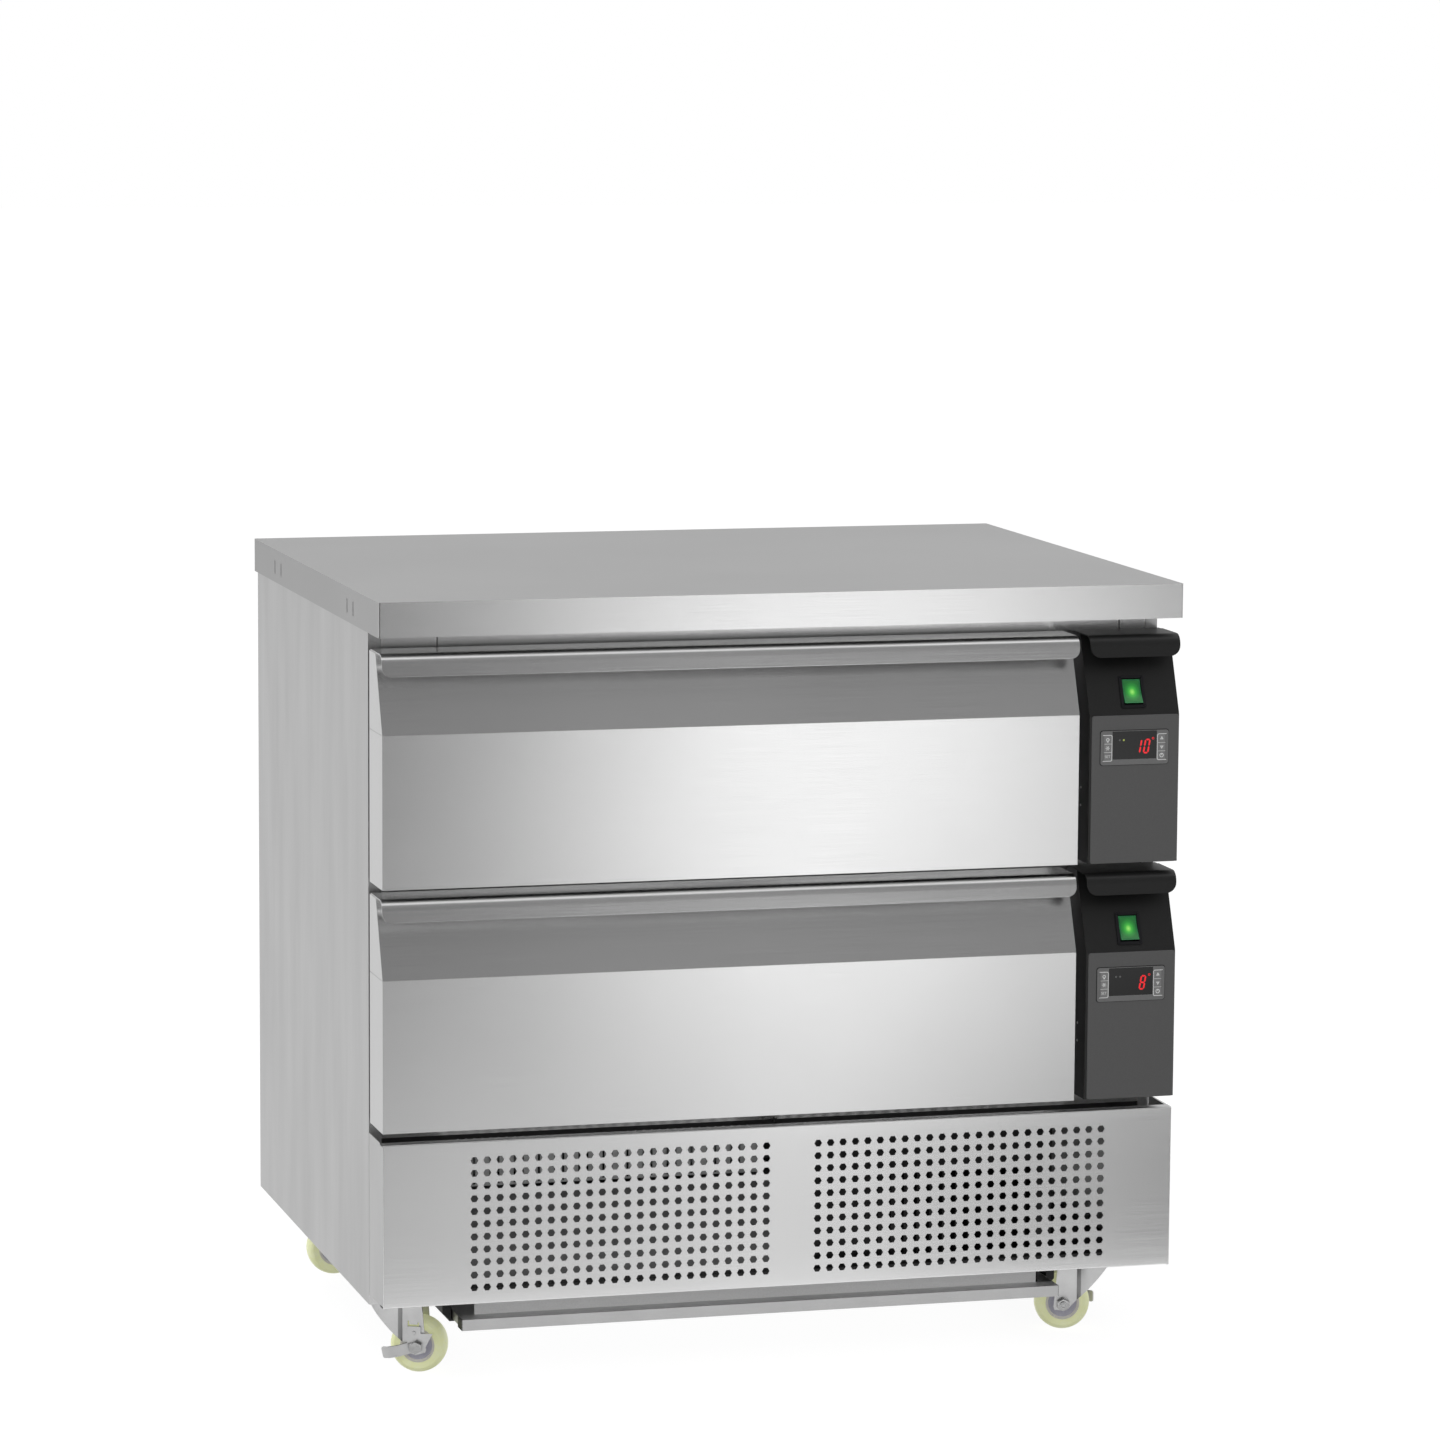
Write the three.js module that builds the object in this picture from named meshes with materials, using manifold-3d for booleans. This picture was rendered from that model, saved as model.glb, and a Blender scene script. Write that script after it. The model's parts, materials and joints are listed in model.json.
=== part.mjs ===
// Refrigerated chef base: two drawers and their controls over a condensing unit, on four swivel castors.
// Millimetres, +Z up. The origin is on the floor under the middle of the cabinet, and the front faces -Y.
import * as THREE from "three";
import { mergeVertices } from "three/addons/utils/BufferGeometryUtils.js";
import Module from "manifold-3d";

const wasm = await Module();
wasm.setup();

// Overall sizes
const width = 905;
const depth = 700;
const height = 870;
const castorHeight = 93;

// Sheet metal, insulation and clearances
const sheet = 1.5;
const wall = 45;
const gap = 0.3;
const overrun = 5;
const mergeDistance = 1e-4;

// Worktop
const worktopEdge = 38;
const worktopPlate = 2;
const worktopLip = 14;
const worktopRadius = 2;

// Casing: sides and back in one wrap, with air slots and a cable outlet at the back
const casingInset = 4;
const casingFlange = 14;
const ventWidth = 6;
const ventHeight = 90;
const ventPitch = 16;
const ventRise = 60;
const ventOffset = 190;
const ventColumns = 10;
const outletRadius = 5;
const outletCollar = 12;
const outletDepth = 8;
const outletRise = 40;

// Front frame
const frameSetback = 73;
const frameStile = 40;
const frameSill = 12;
const frameRail = 63;
const apronDepth = 44;
const apronReach = 400;

// Drawers, with the sloping upper part of their fronts and the folded lip
const drawerTopGap = 18;
const drawerGap = 11.5;
const drawerDepth = 66;
const kneeDrop = 86.5;
const slopeRun = 35;
const lipDrop = 24;
const lipRadius = 12;
const lipDepth = 60;
const lipCorner = 10;
const gasketInset = 12;
const gasketWidth = 16;

// Compartment openings behind the drawers
const openingSideMargin = 31;
const openingTopMargin = 26;
const openingBottomMargin = 29;

// Runners and pan frames
const runnerHeight = 45;
const runnerReach = 12;
const runnerDrop = 48;
const runnerStart = 7;
const runnerEnd = 23;
const slideGap = 0.5;
const tieWidth = 30;
const panBar = 16;
const panMiddleBar = 35;
const panFrontBar = 30;
const panRearBar = 24;
const panRearGap = 16;
const panPlateHeight = 80;
const panPlate = 2;

// Evaporators
const evaporatorMargin = 7;
const evaporatorStart = 30;
const evaporatorEnd = 103;
const evaporatorTopGap = 48;
const evaporatorFins = 16;

// Grille panel, with air holes in two fields
const grilleGap = 12.5;
const grilleRise = 12;
const grilleHeight = 179;
const grilleFlange = 15;
const holeAcross = 7;
const holeColumns = 12;
const holeRows = 6;
const fieldLeftInset = 104.7;
const fieldRightInset = 102.2;
const fieldSeparation = 73.3;
const fieldDrop = 21;
const fieldRise = 28;

// Chassis and the tray of the condensing unit
const chassisPlate = 2.5;
const trayBackMargin = 125;
const trayRailDepth = 21;
const trayRailHeight = 12.5;
const trayDrop = 36;
const traySideHeight = 10;
const channelFlange = 12;
const channelSetback = 50;
const channelClearance = 28.5;
const bayGap = 1;
const skirtEndGap = 20.5;
const skirtSetback = 25;
const skirtDrop = 27;
const endFlange = 10;
const flangeCorner = 9;

// Compressor
const compressorRadius = 72;
const compressorHeight = 150;
const compressorInset = 194.5;
const compressorSetback = 250;
const compressorFoot = 12;
const compressorFootRadius = 9;
const compressorBaseX = 180;
const compressorBaseY = 140;
const compressorBasePlate = 2.5;
const pipeRadius = 5;
const pipeLength = 22;

// Condenser with its shroud, fan motor and fan
const condenserInset = 14.5;
const condenserWidth = 280;
const condenserHeight = 150;
const condenserDepth = 40;
const condenserSetback = 35;
const condenserFins = 18;
const fanRadius = 66;
const fanClearance = 3;
const shroudDepth = 26;
const shroudWall = 3;
const armWidth = 10;
const armDepth = 4;
const motorRadius = 26;
const motorLength = 42;
const shaftRadius = 3;
const fanHubRadius = 15;
const fanHubLength = 15;
const fanBladeChord = 34;
const fanBladeThickness = 2;
const fanBlades = 5;
const fanBladePitch = THREE.MathUtils.degToRad(28);

// Control boxes beside the drawers
const controlWidth = 104.5;
const controlGap = 12.5;
const controlEdge = 2;
const controlFace = 2;
const controlKneeDrop = 2;
const controlLipCorner = 12;

// Rocker switches
const switchRise = 24.5;
const bezelWidth = 28.5;
const bezelHeight = 37;
const bezelProud = 1.5;
const wellDepth = 14;
const wellWall = 2;
const rockerWidth = 21;
const rockerHeight = 28.4;
const rockerProud = 2;
const rockerDish = 1.5;
const rockerBack = 5;
const rockerBackHeight = 20;
const rockerTilt = THREE.MathUtils.degToRad(7.5);

// Thermostat controllers
const controllerDrop = 38;
const controllerWidth = 79;
const controllerHeight = 38;
const controllerFace = 0.4;
const controllerBodyWidth = 72.4;
const controllerBodyHeight = 30.4;
const controllerBodyDepth = 50;
const displayWidth = 51.6;
const displayHeight = 27;
const displayRecess = 0.5;
const keySize = 8.6;
const keyPitch = 9.4;
const keyOffset = 31.5;
const keyDepth = 2.6;
const keyTravel = 0.5;

// Castors
const castorInset = 45;
const castorFrontSetback = 150;
const castorRearInset = 74;
const castorPlateSize = 62;
const castorPlate = 2.5;
const cupRadius = 19;
const cupHeight = 5.7;
const kingPinRadius = 5;
const kingPinHead = 8;
const kingPinHeadHeight = 2.5;
const crownRadius = 24;
const forkSheet = 2.5;
const forkHalfGap = 15;
const trail = 32;
const wheelRadius = 31.5;
const axleRadius = 4;
const hexRadius = 7.5;
const hexHeight = 5.3;
const boltEnd = 3;
const leverSheet = 2;
const leverHeight = 13;
const leverReach = 38;
const leverFlare = 6;
const leverFold = 9;
const leverRun = 10;
const leverTip = 8;
const leverDroop = THREE.MathUtils.degToRad(12);
const leverLifts = { left: 0, right: 12 };
const castorTurns = { front_left: -24, rear_left: 0, front_right: 167, rear_right: 180 };

// Sides in a round piece
const roundSides = 24;
const smallSides = 12;
const bendSteps = 4;

// Planes that the pieces share
const left = -width / 2;
const right = width / 2;
const front = -depth / 2;
const back = depth / 2;
const worktopUnder = height - worktopEdge;
const frameY = front + frameSetback;
const casingLeft = left + casingInset;
const casingRight = right - casingInset;
const casingTop = worktopUnder - gap;
const bodyFront = frameY + sheet + gap;
const bodyBack = back - sheet - gap;
const controlRight = right - controlEdge;
const controlLeft = controlRight - controlWidth;
const drawerLeft = casingLeft;
const drawerRight = controlLeft - controlGap;
const drawerBack = front + drawerDepth;
const openingLeft = casingLeft + wall;
const openingRight = drawerRight - openingSideMargin;
const cavityRight = casingRight - wall;
const cavityBack = bodyBack - wall;
const grilleBottom = castorHeight + grilleRise;
const grilleTop = grilleBottom + grilleHeight;

// The two levels share the front between worktop and grille panel: upper drawer, lower drawer
const levelNames = ["upper", "lower"];
const drawersTop = worktopUnder - drawerTopGap;
const drawersBottom = grilleTop + grilleGap;
const drawerPitch = (drawersTop - drawersBottom + drawerGap) / levelNames.length;
const levels = levelNames.map((name, index) => {
  const top = drawersTop - index * drawerPitch;
  const bottom = top - drawerPitch + drawerGap;
  return {
    name,
    top,
    bottom,
    knee: top - kneeDrop,
    openingTop: top - openingTopMargin,
    openingBottom: bottom + openingBottomMargin,
  };
});
const lowest = levels[levels.length - 1];
const machineTop = lowest.openingBottom - wall;
const castorX = right - castorInset;
const bayHalf = castorX - castorPlateSize / 2 - channelClearance - chassisPlate;
const bayBack = bodyBack - trayBackMargin;
const trayHalf = bayHalf - bayGap;
const trayBottom = castorHeight - trayDrop;
const trayFloor = trayBottom + chassisPlate + gap;
const trayFloorTop = trayFloor + sheet;

// Finishes
const finish = (color, roughness, metalness) => new THREE.MeshStandardMaterial({ color, roughness, metalness });
const stainless = finish(0xc4c4c4, 0.35, 1);
const galvanised = finish(0x8f9294, 0.5, 1);
const darkMetal = finish(0x222325, 0.6, 0.3);
const foam = finish(0xd9d3c3, 0.8, 0);
const rubber = finish(0x1a1a1a, 0.8, 0);
const blackPaint = finish(0x232323, 0.45, 0);
const controllerPlastic = finish(0x4a4a4c, 0.5, 0);
const keyPlastic = finish(0x6a6a6c, 0.5, 0);
const greenLens = finish(0x22b04a, 0.2, 0);
const treadPlastic = finish(0xd8dcae, 0.4, 0);
const fanPlastic = finish(0x2b2b2b, 0.6, 0);

// A geometry as a solid that can be joined and cut
function solid(geometry) {
  const bare = geometry.index ? geometry.toNonIndexed() : geometry.clone();
  bare.deleteAttribute("normal");
  bare.deleteAttribute("uv");
  const merged = mergeVertices(bare, mergeDistance);
  const triVerts = new Uint32Array(merged.index.array);
  const vertProperties = merged.attributes.position.array;
  return new wasm.Manifold(new wasm.Mesh({ numProp: 3, vertProperties, triVerts }));
}

function joined(pieces) {
  return pieces.reduce((all, piece) => all.add(piece));
}

function boxGeometry(x0, x1, y0, y1, z0, z1) {
  const geometry = new THREE.BoxGeometry(x1 - x0, y1 - y0, z1 - z0);
  return geometry.translate((x0 + x1) / 2, (y0 + y1) / 2, (z0 + z1) / 2);
}

function box(x0, x1, y0, y1, z0, z1) {
  return solid(boxGeometry(x0, x1, y0, y1, z0, z1));
}

// An outline extruded along an axis: along x it holds (y, z), along y (x, z) and along z (x, y).
function prismGeometry(axis, outline, start, end, holes = []) {
  const points = (list) => list.map(([a, b]) => new THREE.Vector2(a, b));
  const shape = new THREE.Shape(points(outline));
  holes.forEach((hole) => shape.holes.push(new THREE.Path(points(hole))));
  const geometry = new THREE.ExtrudeGeometry(shape, { depth: end - start, bevelEnabled: false });
  const x = new THREE.Vector3(1, 0, 0);
  const y = new THREE.Vector3(0, 1, 0);
  const z = new THREE.Vector3(0, 0, 1);
  const turned = new THREE.Matrix4();
  if (axis === "x") turned.makeBasis(y, z, x).setPosition(start, 0, 0);
  if (axis === "y") turned.makeBasis(x, z, y.clone().negate()).setPosition(0, end, 0);
  if (axis === "z") turned.makeBasis(x, y, z).setPosition(0, 0, start);
  return geometry.applyMatrix4(turned);
}

function prism(axis, outline, start, end, holes) {
  return solid(prismGeometry(axis, outline, start, end, holes));
}

// A round bar along an axis, with a flat side down
function rodGeometry(axis, radius, centre, start, end, sides = roundSides) {
  const geometry = new THREE.CylinderGeometry(radius, radius, end - start, sides);
  geometry.rotateY(Math.PI / sides);
  const middle = (start + end) / 2;
  if (axis === "x") return geometry.rotateZ(Math.PI / 2).translate(middle, ...centre);
  if (axis === "y") return geometry.translate(centre[0], middle, centre[1]);
  return geometry.rotateX(Math.PI / 2).translate(...centre, middle);
}

function rod(axis, radius, centre, start, end, sides) {
  return solid(rodGeometry(axis, radius, centre, start, end, sides));
}

// Points of a quarter turn about a centre, from one angle to another
function arc(centre, radius, from, to, steps = bendSteps) {
  return Array.from({ length: steps + 1 }, (_, i) => {
    const angle = from + ((to - from) * i) / steps;
    return [centre[0] + radius * Math.cos(angle), centre[1] + radius * Math.sin(angle)];
  });
}

function rectangle(a0, a1, b0, b1) {
  return [
    [a0, b0],
    [a1, b0],
    [a1, b1],
    [a0, b1],
  ];
}

const root = new THREE.Group();

function place(name, piece, material, parent = root) {
  const made = piece.getMesh();
  const geometry = new THREE.BufferGeometry();
  geometry.setAttribute("position", new THREE.BufferAttribute(made.vertProperties, made.numProp));
  geometry.setIndex(new THREE.BufferAttribute(made.triVerts, 1));
  geometry.computeVertexNormals();
  const mesh = new THREE.Mesh(geometry, material);
  mesh.name = name;
  parent.add(mesh);
  return mesh;
}

// Worktop: folded from one sheet, with rounded edges and a return lip all round underneath
function worktop() {
  const outline = rectangle(
    left + worktopRadius,
    right - worktopRadius,
    front + worktopRadius,
    back - worktopRadius,
  );
  const shape = new THREE.Shape(outline.map(([x, y]) => new THREE.Vector2(x, y)));
  const slab = new THREE.ExtrudeGeometry(shape, {
    depth: worktopEdge - 2 * worktopRadius,
    bevelThickness: worktopRadius,
    bevelSize: worktopRadius,
    bevelSegments: 2,
  });
  slab.translate(0, 0, worktopUnder + worktopRadius);
  const hollow = box(
    left + 2 * worktopRadius,
    right - 2 * worktopRadius,
    front + 2 * worktopRadius,
    back - 2 * worktopRadius,
    worktopUnder + sheet + gap,
    height - worktopPlate,
  );
  const mouth = box(
    left + worktopLip,
    right - worktopLip,
    front + worktopLip,
    back - worktopLip,
    worktopUnder - overrun,
    height - worktopPlate,
  );
  return solid(slab).subtract(hollow.add(mouth));
}

// Casing: both sides and the back, with a narrow return at the front
function outerCasing() {
  const outer = box(casingLeft, casingRight, frameY, back, castorHeight, casingTop);
  const inner = box(
    casingLeft + sheet,
    casingRight - sheet,
    frameY - overrun,
    back - sheet,
    castorHeight - overrun,
    casingTop + overrun,
  );
  const flanges = [
    box(casingLeft, casingLeft + casingFlange, frameY, frameY + sheet, castorHeight, casingTop),
    box(casingRight - casingFlange, casingRight, frameY, frameY + sheet, castorHeight, casingTop),
  ];
  const outletZ = castorHeight + outletRise;
  const collar = rod("y", outletCollar, [0, outletZ], back - sheet - outletDepth, back - sheet / 2, smallSides);
  const slots = [-ventOffset, ventOffset].flatMap((middle) =>
    Array.from({ length: ventColumns }, (_, i) => {
      const x = middle + (i - (ventColumns - 1) / 2) * ventPitch;
      const z = castorHeight + ventRise;
      return box(x - ventWidth / 2, x + ventWidth / 2, back - sheet - overrun, back + overrun, z, z + ventHeight);
    }),
  );
  const bore = rod(
    "y",
    outletRadius,
    [0, outletZ],
    back - sheet - outletDepth - overrun,
    back + overrun,
    smallSides,
  );
  return joined([outer.subtract(inner), ...flanges, collar]).subtract(joined([...slots, bore]));
}

// Insulated body: one foam-filled carcass with two compartments, each with a duct at its right
function insulatedBody() {
  const main = box(
    casingLeft + sheet + gap,
    casingRight - sheet - gap,
    bodyFront,
    bodyBack,
    machineTop,
    casingTop,
  );
  const coreLeft = left + worktopLip + gap;
  const coreRight = right - worktopLip - gap;
  const coreTop = height - worktopPlate - gap;
  const core = box(coreLeft, coreRight, front + worktopLip + gap, back - worktopLip - gap, worktopUnder, coreTop);
  const neck = box(coreLeft, coreRight, bodyFront, back - worktopLip - gap, casingTop - wall / 2, coreTop);
  const compartments = levels.flatMap(({ openingTop, openingBottom }) => [
    box(openingLeft, openingRight, bodyFront - overrun, cavityBack, openingBottom, openingTop),
    box(openingRight - overrun, cavityRight, bodyFront + wall, cavityBack, openingBottom, openingTop),
  ]);
  return joined([main, core, neck]).subtract(joined(compartments));
}

// Front frame: sheet round the two drawer openings and the machine opening
function frontFrame() {
  const frameLeft = casingLeft + casingFlange + gap;
  const frameRight = casingRight - casingFlange - gap;
  const sheetPiece = box(frameLeft, frameRight, frameY, frameY + sheet, castorHeight, casingTop);
  const cutFront = frameY - overrun;
  const cutBack = frameY + sheet + overrun;
  const drawers = levels.map(({ openingTop, openingBottom }) =>
    box(openingLeft, openingRight, cutFront, cutBack, openingBottom, openingTop),
  );
  const sill = castorHeight + frameSill;
  const machineLeft = casingLeft + frameStile;
  const machineRight = casingRight - frameStile;
  const railBottom = lowest.openingBottom - frameRail;
  const machine = [
    box(machineLeft, machineRight, cutFront, cutBack, sill, railBottom - apronDepth),
    box(machineLeft + apronReach, machineRight, cutFront, cutBack, sill, railBottom),
  ];
  return sheetPiece.subtract(joined([...drawers, ...machine]));
}

// Grille panel: a front with two fields of hexagonal holes, folded back at all four edges
function grillePanel() {
  const across = holeAcross / Math.sqrt(3);
  const hexagon = (x, z) => arc([x, z], across, 0, 2 * Math.PI, 6).slice(0, -1);
  const fieldWidth = (width - fieldLeftInset - fieldRightInset - fieldSeparation) / 2;
  const pitchX = fieldWidth / (holeColumns - 1);
  const pitchZ = (grilleHeight - fieldDrop - fieldRise) / (holeRows - 1);
  const fieldStarts = [left + fieldLeftInset, left + fieldLeftInset + fieldWidth + fieldSeparation];
  const holes = fieldStarts.flatMap((start) =>
    Array.from({ length: holeColumns * holeRows }, (_, i) => {
      const column = i % holeColumns;
      const row = Math.floor(i / holeColumns);
      return hexagon(start + column * pitchX, grilleTop - fieldDrop - row * pitchZ);
    }),
  );
  const face = prism(
    "y",
    rectangle(casingLeft, casingRight, grilleBottom, grilleTop),
    front,
    front + sheet,
    holes,
  );
  const sideBack = frameY - gap;
  return joined([
    face,
    box(casingLeft, casingLeft + sheet, front, sideBack, grilleBottom, grilleTop),
    box(casingRight - sheet, casingRight, front, sideBack, grilleBottom, grilleTop),
    box(casingLeft, casingRight, front, front + grilleFlange, grilleTop - sheet, grilleTop),
    box(casingLeft, casingRight, front, front + grilleFlange, grilleBottom, grilleBottom + sheet),
  ]);
}

// Chassis: base plate round the bay of the condensing unit, a front skirt, and channels that carry the unit's tray,
// each with a flange folded out at its front end
function chassis() {
  const skirtBack = frameY + skirtSetback + chassisPlate;
  const skirtHalf = bayHalf - skirtEndGap;
  const plate = box(
    casingLeft + sheet + gap,
    casingRight - sheet - gap,
    bodyFront,
    bodyBack,
    castorHeight,
    castorHeight + chassisPlate,
  );
  const bay = box(-bayHalf, bayHalf, skirtBack, bayBack, castorHeight - overrun, castorHeight + overrun);
  const skirt = box(
    -skirtHalf,
    skirtHalf,
    frameY + skirtSetback,
    skirtBack,
    castorHeight - skirtDrop,
    castorHeight + chassisPlate,
  );
  const channelFront = frameY + channelSetback;
  const channels = [-1, 1].flatMap((side) => {
    const web = [side * bayHalf, side * (bayHalf + chassisPlate)].sort((a, b) => a - b);
    const foot = [side * (bayHalf - channelFlange), side * (bayHalf + chassisPlate)].sort((a, b) => a - b);
    return [
      box(...web, channelFront, bayBack, trayBottom, castorHeight + chassisPlate),
      box(...foot, channelFront, bayBack, trayBottom, trayBottom + chassisPlate),
    ];
  });
  const flangeTop = castorHeight + chassisPlate;
  const flangeBack = channelFront + chassisPlate;
  const flangeOuter = bayHalf + endFlange;
  const flanges = [-1, 1].map((side) => {
    const outline = [
      [side * bayHalf, trayBottom],
      [side * bayHalf, flangeTop],
      [side * flangeOuter, flangeTop],
      [side * flangeOuter, trayBottom + flangeCorner],
    ];
    return prism("y", outline, channelFront, flangeBack);
  });
  return joined([plate.subtract(bay), skirt, ...channels, ...flanges]);
}

// Tray of the condensing unit: one folded sheet with a front rail and raised sides
function compressorTray() {
  const railFront = frameY + sheet;
  const railBack = railFront + trayRailDepth;
  const railTop = trayBottom + trayRailHeight;
  const trayBack = bayBack - gap;
  const profile = [
    [railBack, trayBottom],
    [railFront, trayBottom],
    [railFront, railTop],
    [railBack + sheet, railTop],
    [railBack + sheet, trayFloorTop],
    [trayBack, trayFloorTop],
    [trayBack, trayFloor],
    [railBack, trayFloor],
    [railBack, railTop - sheet],
    [railFront + sheet, railTop - sheet],
    [railFront + sheet, trayBottom + sheet],
    [railBack, trayBottom + sheet],
  ];
  const folded = prism("x", profile, -trayHalf, trayHalf);
  const sides = [-1, 1].map((side) => {
    const x = [side * trayHalf, side * (trayHalf - sheet)].sort((a, b) => a - b);
    return box(...x, railBack, trayBack - sheet, trayFloor, trayFloor + traySideHeight);
  });
  return joined([folded, ...sides]);
}

// Compressor: a welded shell on a base plate with four feet, and two pipe stubs
function compressor() {
  const x = compressorInset - trayHalf;
  const y = frameY + compressorSetback;
  const foot = trayFloorTop + gap;
  const plate = foot + compressorFoot;
  const shell = plate + compressorBasePlate;
  const shellProfileShares = [
    [0, 0],
    [0.8, 0],
    [0.97, 0.12],
    [1, 0.2],
    [1, 0.8],
    [0.9, 0.93],
    [0.6, 1],
    [0, 1],
  ];
  const profile = shellProfileShares.map(
    ([r, h]) => new THREE.Vector2(r * compressorRadius, h * compressorHeight),
  );
  const pot = new THREE.LatheGeometry(profile, roundSides).rotateX(Math.PI / 2);
  pot.translate(x, y, shell);
  const halfX = compressorBaseX / 2;
  const halfY = compressorBaseY / 2;
  const base = box(
    x - halfX,
    x + halfX,
    y - halfY,
    y + halfY,
    plate,
    shell + compressorBasePlate,
  );
  const inX = halfX - 2 * compressorFootRadius;
  const inY = halfY - 2 * compressorFootRadius;
  const feet = [-1, 1].flatMap((sx) =>
    [-1, 1].map((sy) => {
      const centre = [x + sx * inX, y + sy * inY];
      return rod("z", compressorFootRadius, centre, foot, plate + compressorBasePlate, smallSides);
    }),
  );
  const stubs = [-1, 1].map((side) => {
    const centre = [x + (side * compressorRadius) / 2, y];
    const top = shell + compressorHeight + pipeLength;
    return rod("z", pipeRadius, centre, shell + compressorHeight / 2, top, smallSides);
  });
  return joined([solid(pot), base, ...feet, ...stubs]);
}

// A finned block, grooved along z from one face: "y" from its front, "x" from its left
function finnedBlock(bounds, axis, fins) {
  const [x0, x1, y0, y1, z0, z1] = bounds;
  const block = box(...bounds);
  const [start, end] = axis === "y" ? [x0, x1] : [y0, y1];
  const pitch = (end - start) / (2 * fins + 1);
  const grooves = Array.from({ length: fins }, (_, i) => {
    const from = start + (2 * i + 1) * pitch;
    const to = from + pitch;
    return axis === "y"
      ? box(from, to, y0 - overrun, (y0 + y1) / 2, z0 + sheet, z1 + overrun)
      : box(x0 - overrun, (x0 + x1) / 2, from, to, z0 + sheet, z1 + overrun);
  });
  return block.subtract(joined(grooves));
}

const condenserRight = trayHalf - condenserInset;
const condenserLeft = condenserRight - condenserWidth;
const condenserBottom = trayFloorTop + gap;
const condenserFront = frameY + condenserSetback;
const condenserBack = condenserFront + condenserDepth;
const fanCentre = [condenserLeft + condenserWidth / 2, condenserBottom + condenserHeight / 2];
const shroudBack = condenserBack + shroudDepth;

// Condenser: finned block, round shroud behind it, and the fan's motor held by a cross of arms
function condenser() {
  const block = finnedBlock(
    [
      condenserLeft,
      condenserRight,
      condenserFront,
      condenserBack,
      condenserBottom,
      condenserBottom + condenserHeight,
    ],
    "y",
    condenserFins,
  );
  const throat = fanRadius + fanClearance;
  const ring = rod("y", throat + shroudWall, fanCentre, condenserBack - sheet, shroudBack);
  const bore = rod("y", throat, fanCentre, condenserBack, shroudBack + overrun);
  const motorFront = shroudBack - armDepth;
  const motor = rod("y", motorRadius, fanCentre, motorFront, motorFront + motorLength);
  const shaft = rod("y", shaftRadius, fanCentre, motorFront - fanHubLength, motorFront + armDepth, smallSides);
  const reach = throat + shroudWall / 2;
  const half = armWidth / 2;
  const [cx, cz] = fanCentre;
  const arms = [
    box(cx - reach, cx + reach, motorFront, shroudBack, cz - half, cz + half),
    box(cx - half, cx + half, motorFront, shroudBack, cz - reach, cz + reach),
  ];
  return joined([block, ring.subtract(bore), motor, shaft, ...arms]);
}

// Fan: hub on the motor's shaft, with pitched blades
function fanWheel() {
  const [cx, cz] = fanCentre;
  const hubBack = shroudBack - armDepth - gap;
  const hubFront = hubBack - fanHubLength;
  const middle = (hubFront + hubBack) / 2;
  const hub = rod("y", fanHubRadius, fanCentre, hubFront, hubBack);
  const bladeLength = fanRadius - fanHubRadius / 2;
  const blades = Array.from({ length: fanBlades }, (_, i) => {
    const blade = new THREE.BoxGeometry(bladeLength, fanBladeThickness, fanBladeChord);
    blade.rotateX(fanBladePitch);
    blade.translate(fanHubRadius / 2 + bladeLength / 2, 0, 0);
    blade.rotateY((i * 2 * Math.PI) / fanBlades);
    blade.translate(cx, middle, cz);
    return solid(blade);
  });
  const throat = rod("y", fanRadius, fanCentre, hubFront - overrun, hubBack);
  const bore = rod("y", shaftRadius + gap, fanCentre, hubFront - overrun, hubBack + overrun, smallSides);
  return joined([hub, ...blades]).intersect(throat).subtract(bore);
}

function evaporator({ openingBottom, openingTop }) {
  return finnedBlock(
    [
      openingRight + evaporatorMargin,
      cavityRight - evaporatorMargin,
      bodyFront + wall + evaporatorStart,
      cavityBack - evaporatorEnd,
      openingBottom + gap,
      openingTop - evaporatorTopGap,
    ],
    "x",
    evaporatorFins,
  );
}

// The outline of a drawer front, side on: upright face, knee, slope and flat top
function frontOutline(face, backEdge, bottom, knee, top, inset = 0) {
  const slope = Math.hypot(slopeRun, kneeDrop);
  const faceY = face + inset;
  const slopeShift = (inset * slope) / kneeDrop;
  const rise = kneeDrop / slopeRun;
  const slopeY = (z) => face + slopeShift + (z - knee) / rise;
  const kneeZ = knee + (faceY - face - slopeShift) * rise;
  return [
    [faceY, bottom + inset],
    [faceY, kneeZ],
    [slopeY(top - inset), top - inset],
    [backEdge, top - inset],
    [backEdge, bottom + inset],
  ];
}

// The folded lip over a front, side on
function lipOutline(top) {
  const outer = arc([front + lipRadius, top - lipRadius], lipRadius, Math.PI / 2, Math.PI);
  const inner = arc([front + lipRadius, top - lipRadius], lipRadius - sheet, Math.PI, Math.PI / 2);
  return [
    [front + lipDepth, top],
    ...outer,
    [front, top - lipDrop],
    [front + sheet, top - lipDrop],
    ...inner,
    [front + lipDepth, top - sheet],
  ];
}

// The folded lip, with the lower corners of its front rounded
function lip(x0, x1, top, corner) {
  const bottom = top - lipDrop;
  const rounded = [
    [x1, top + overrun],
    [x0, top + overrun],
    ...arc([x0 + corner, bottom + corner], corner, Math.PI, 1.5 * Math.PI),
    ...arc([x1 - corner, bottom + corner], corner, 1.5 * Math.PI, 2 * Math.PI),
  ];
  return prism("x", lipOutline(top), x0, x1).intersect(
    prism("y", rounded, front - overrun, front + lipDepth + overrun),
  );
}

function drawerFront({ top, knee, bottom }) {
  const skinTop = top - sheet - gap;
  const outer = prism("x", frontOutline(front, drawerBack, bottom, knee, skinTop), drawerLeft, drawerRight);
  const pocket = frontOutline(front, drawerBack + overrun, bottom, knee, skinTop, sheet);
  return outer.subtract(prism("x", pocket, drawerLeft + sheet, drawerRight - sheet));
}

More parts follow.
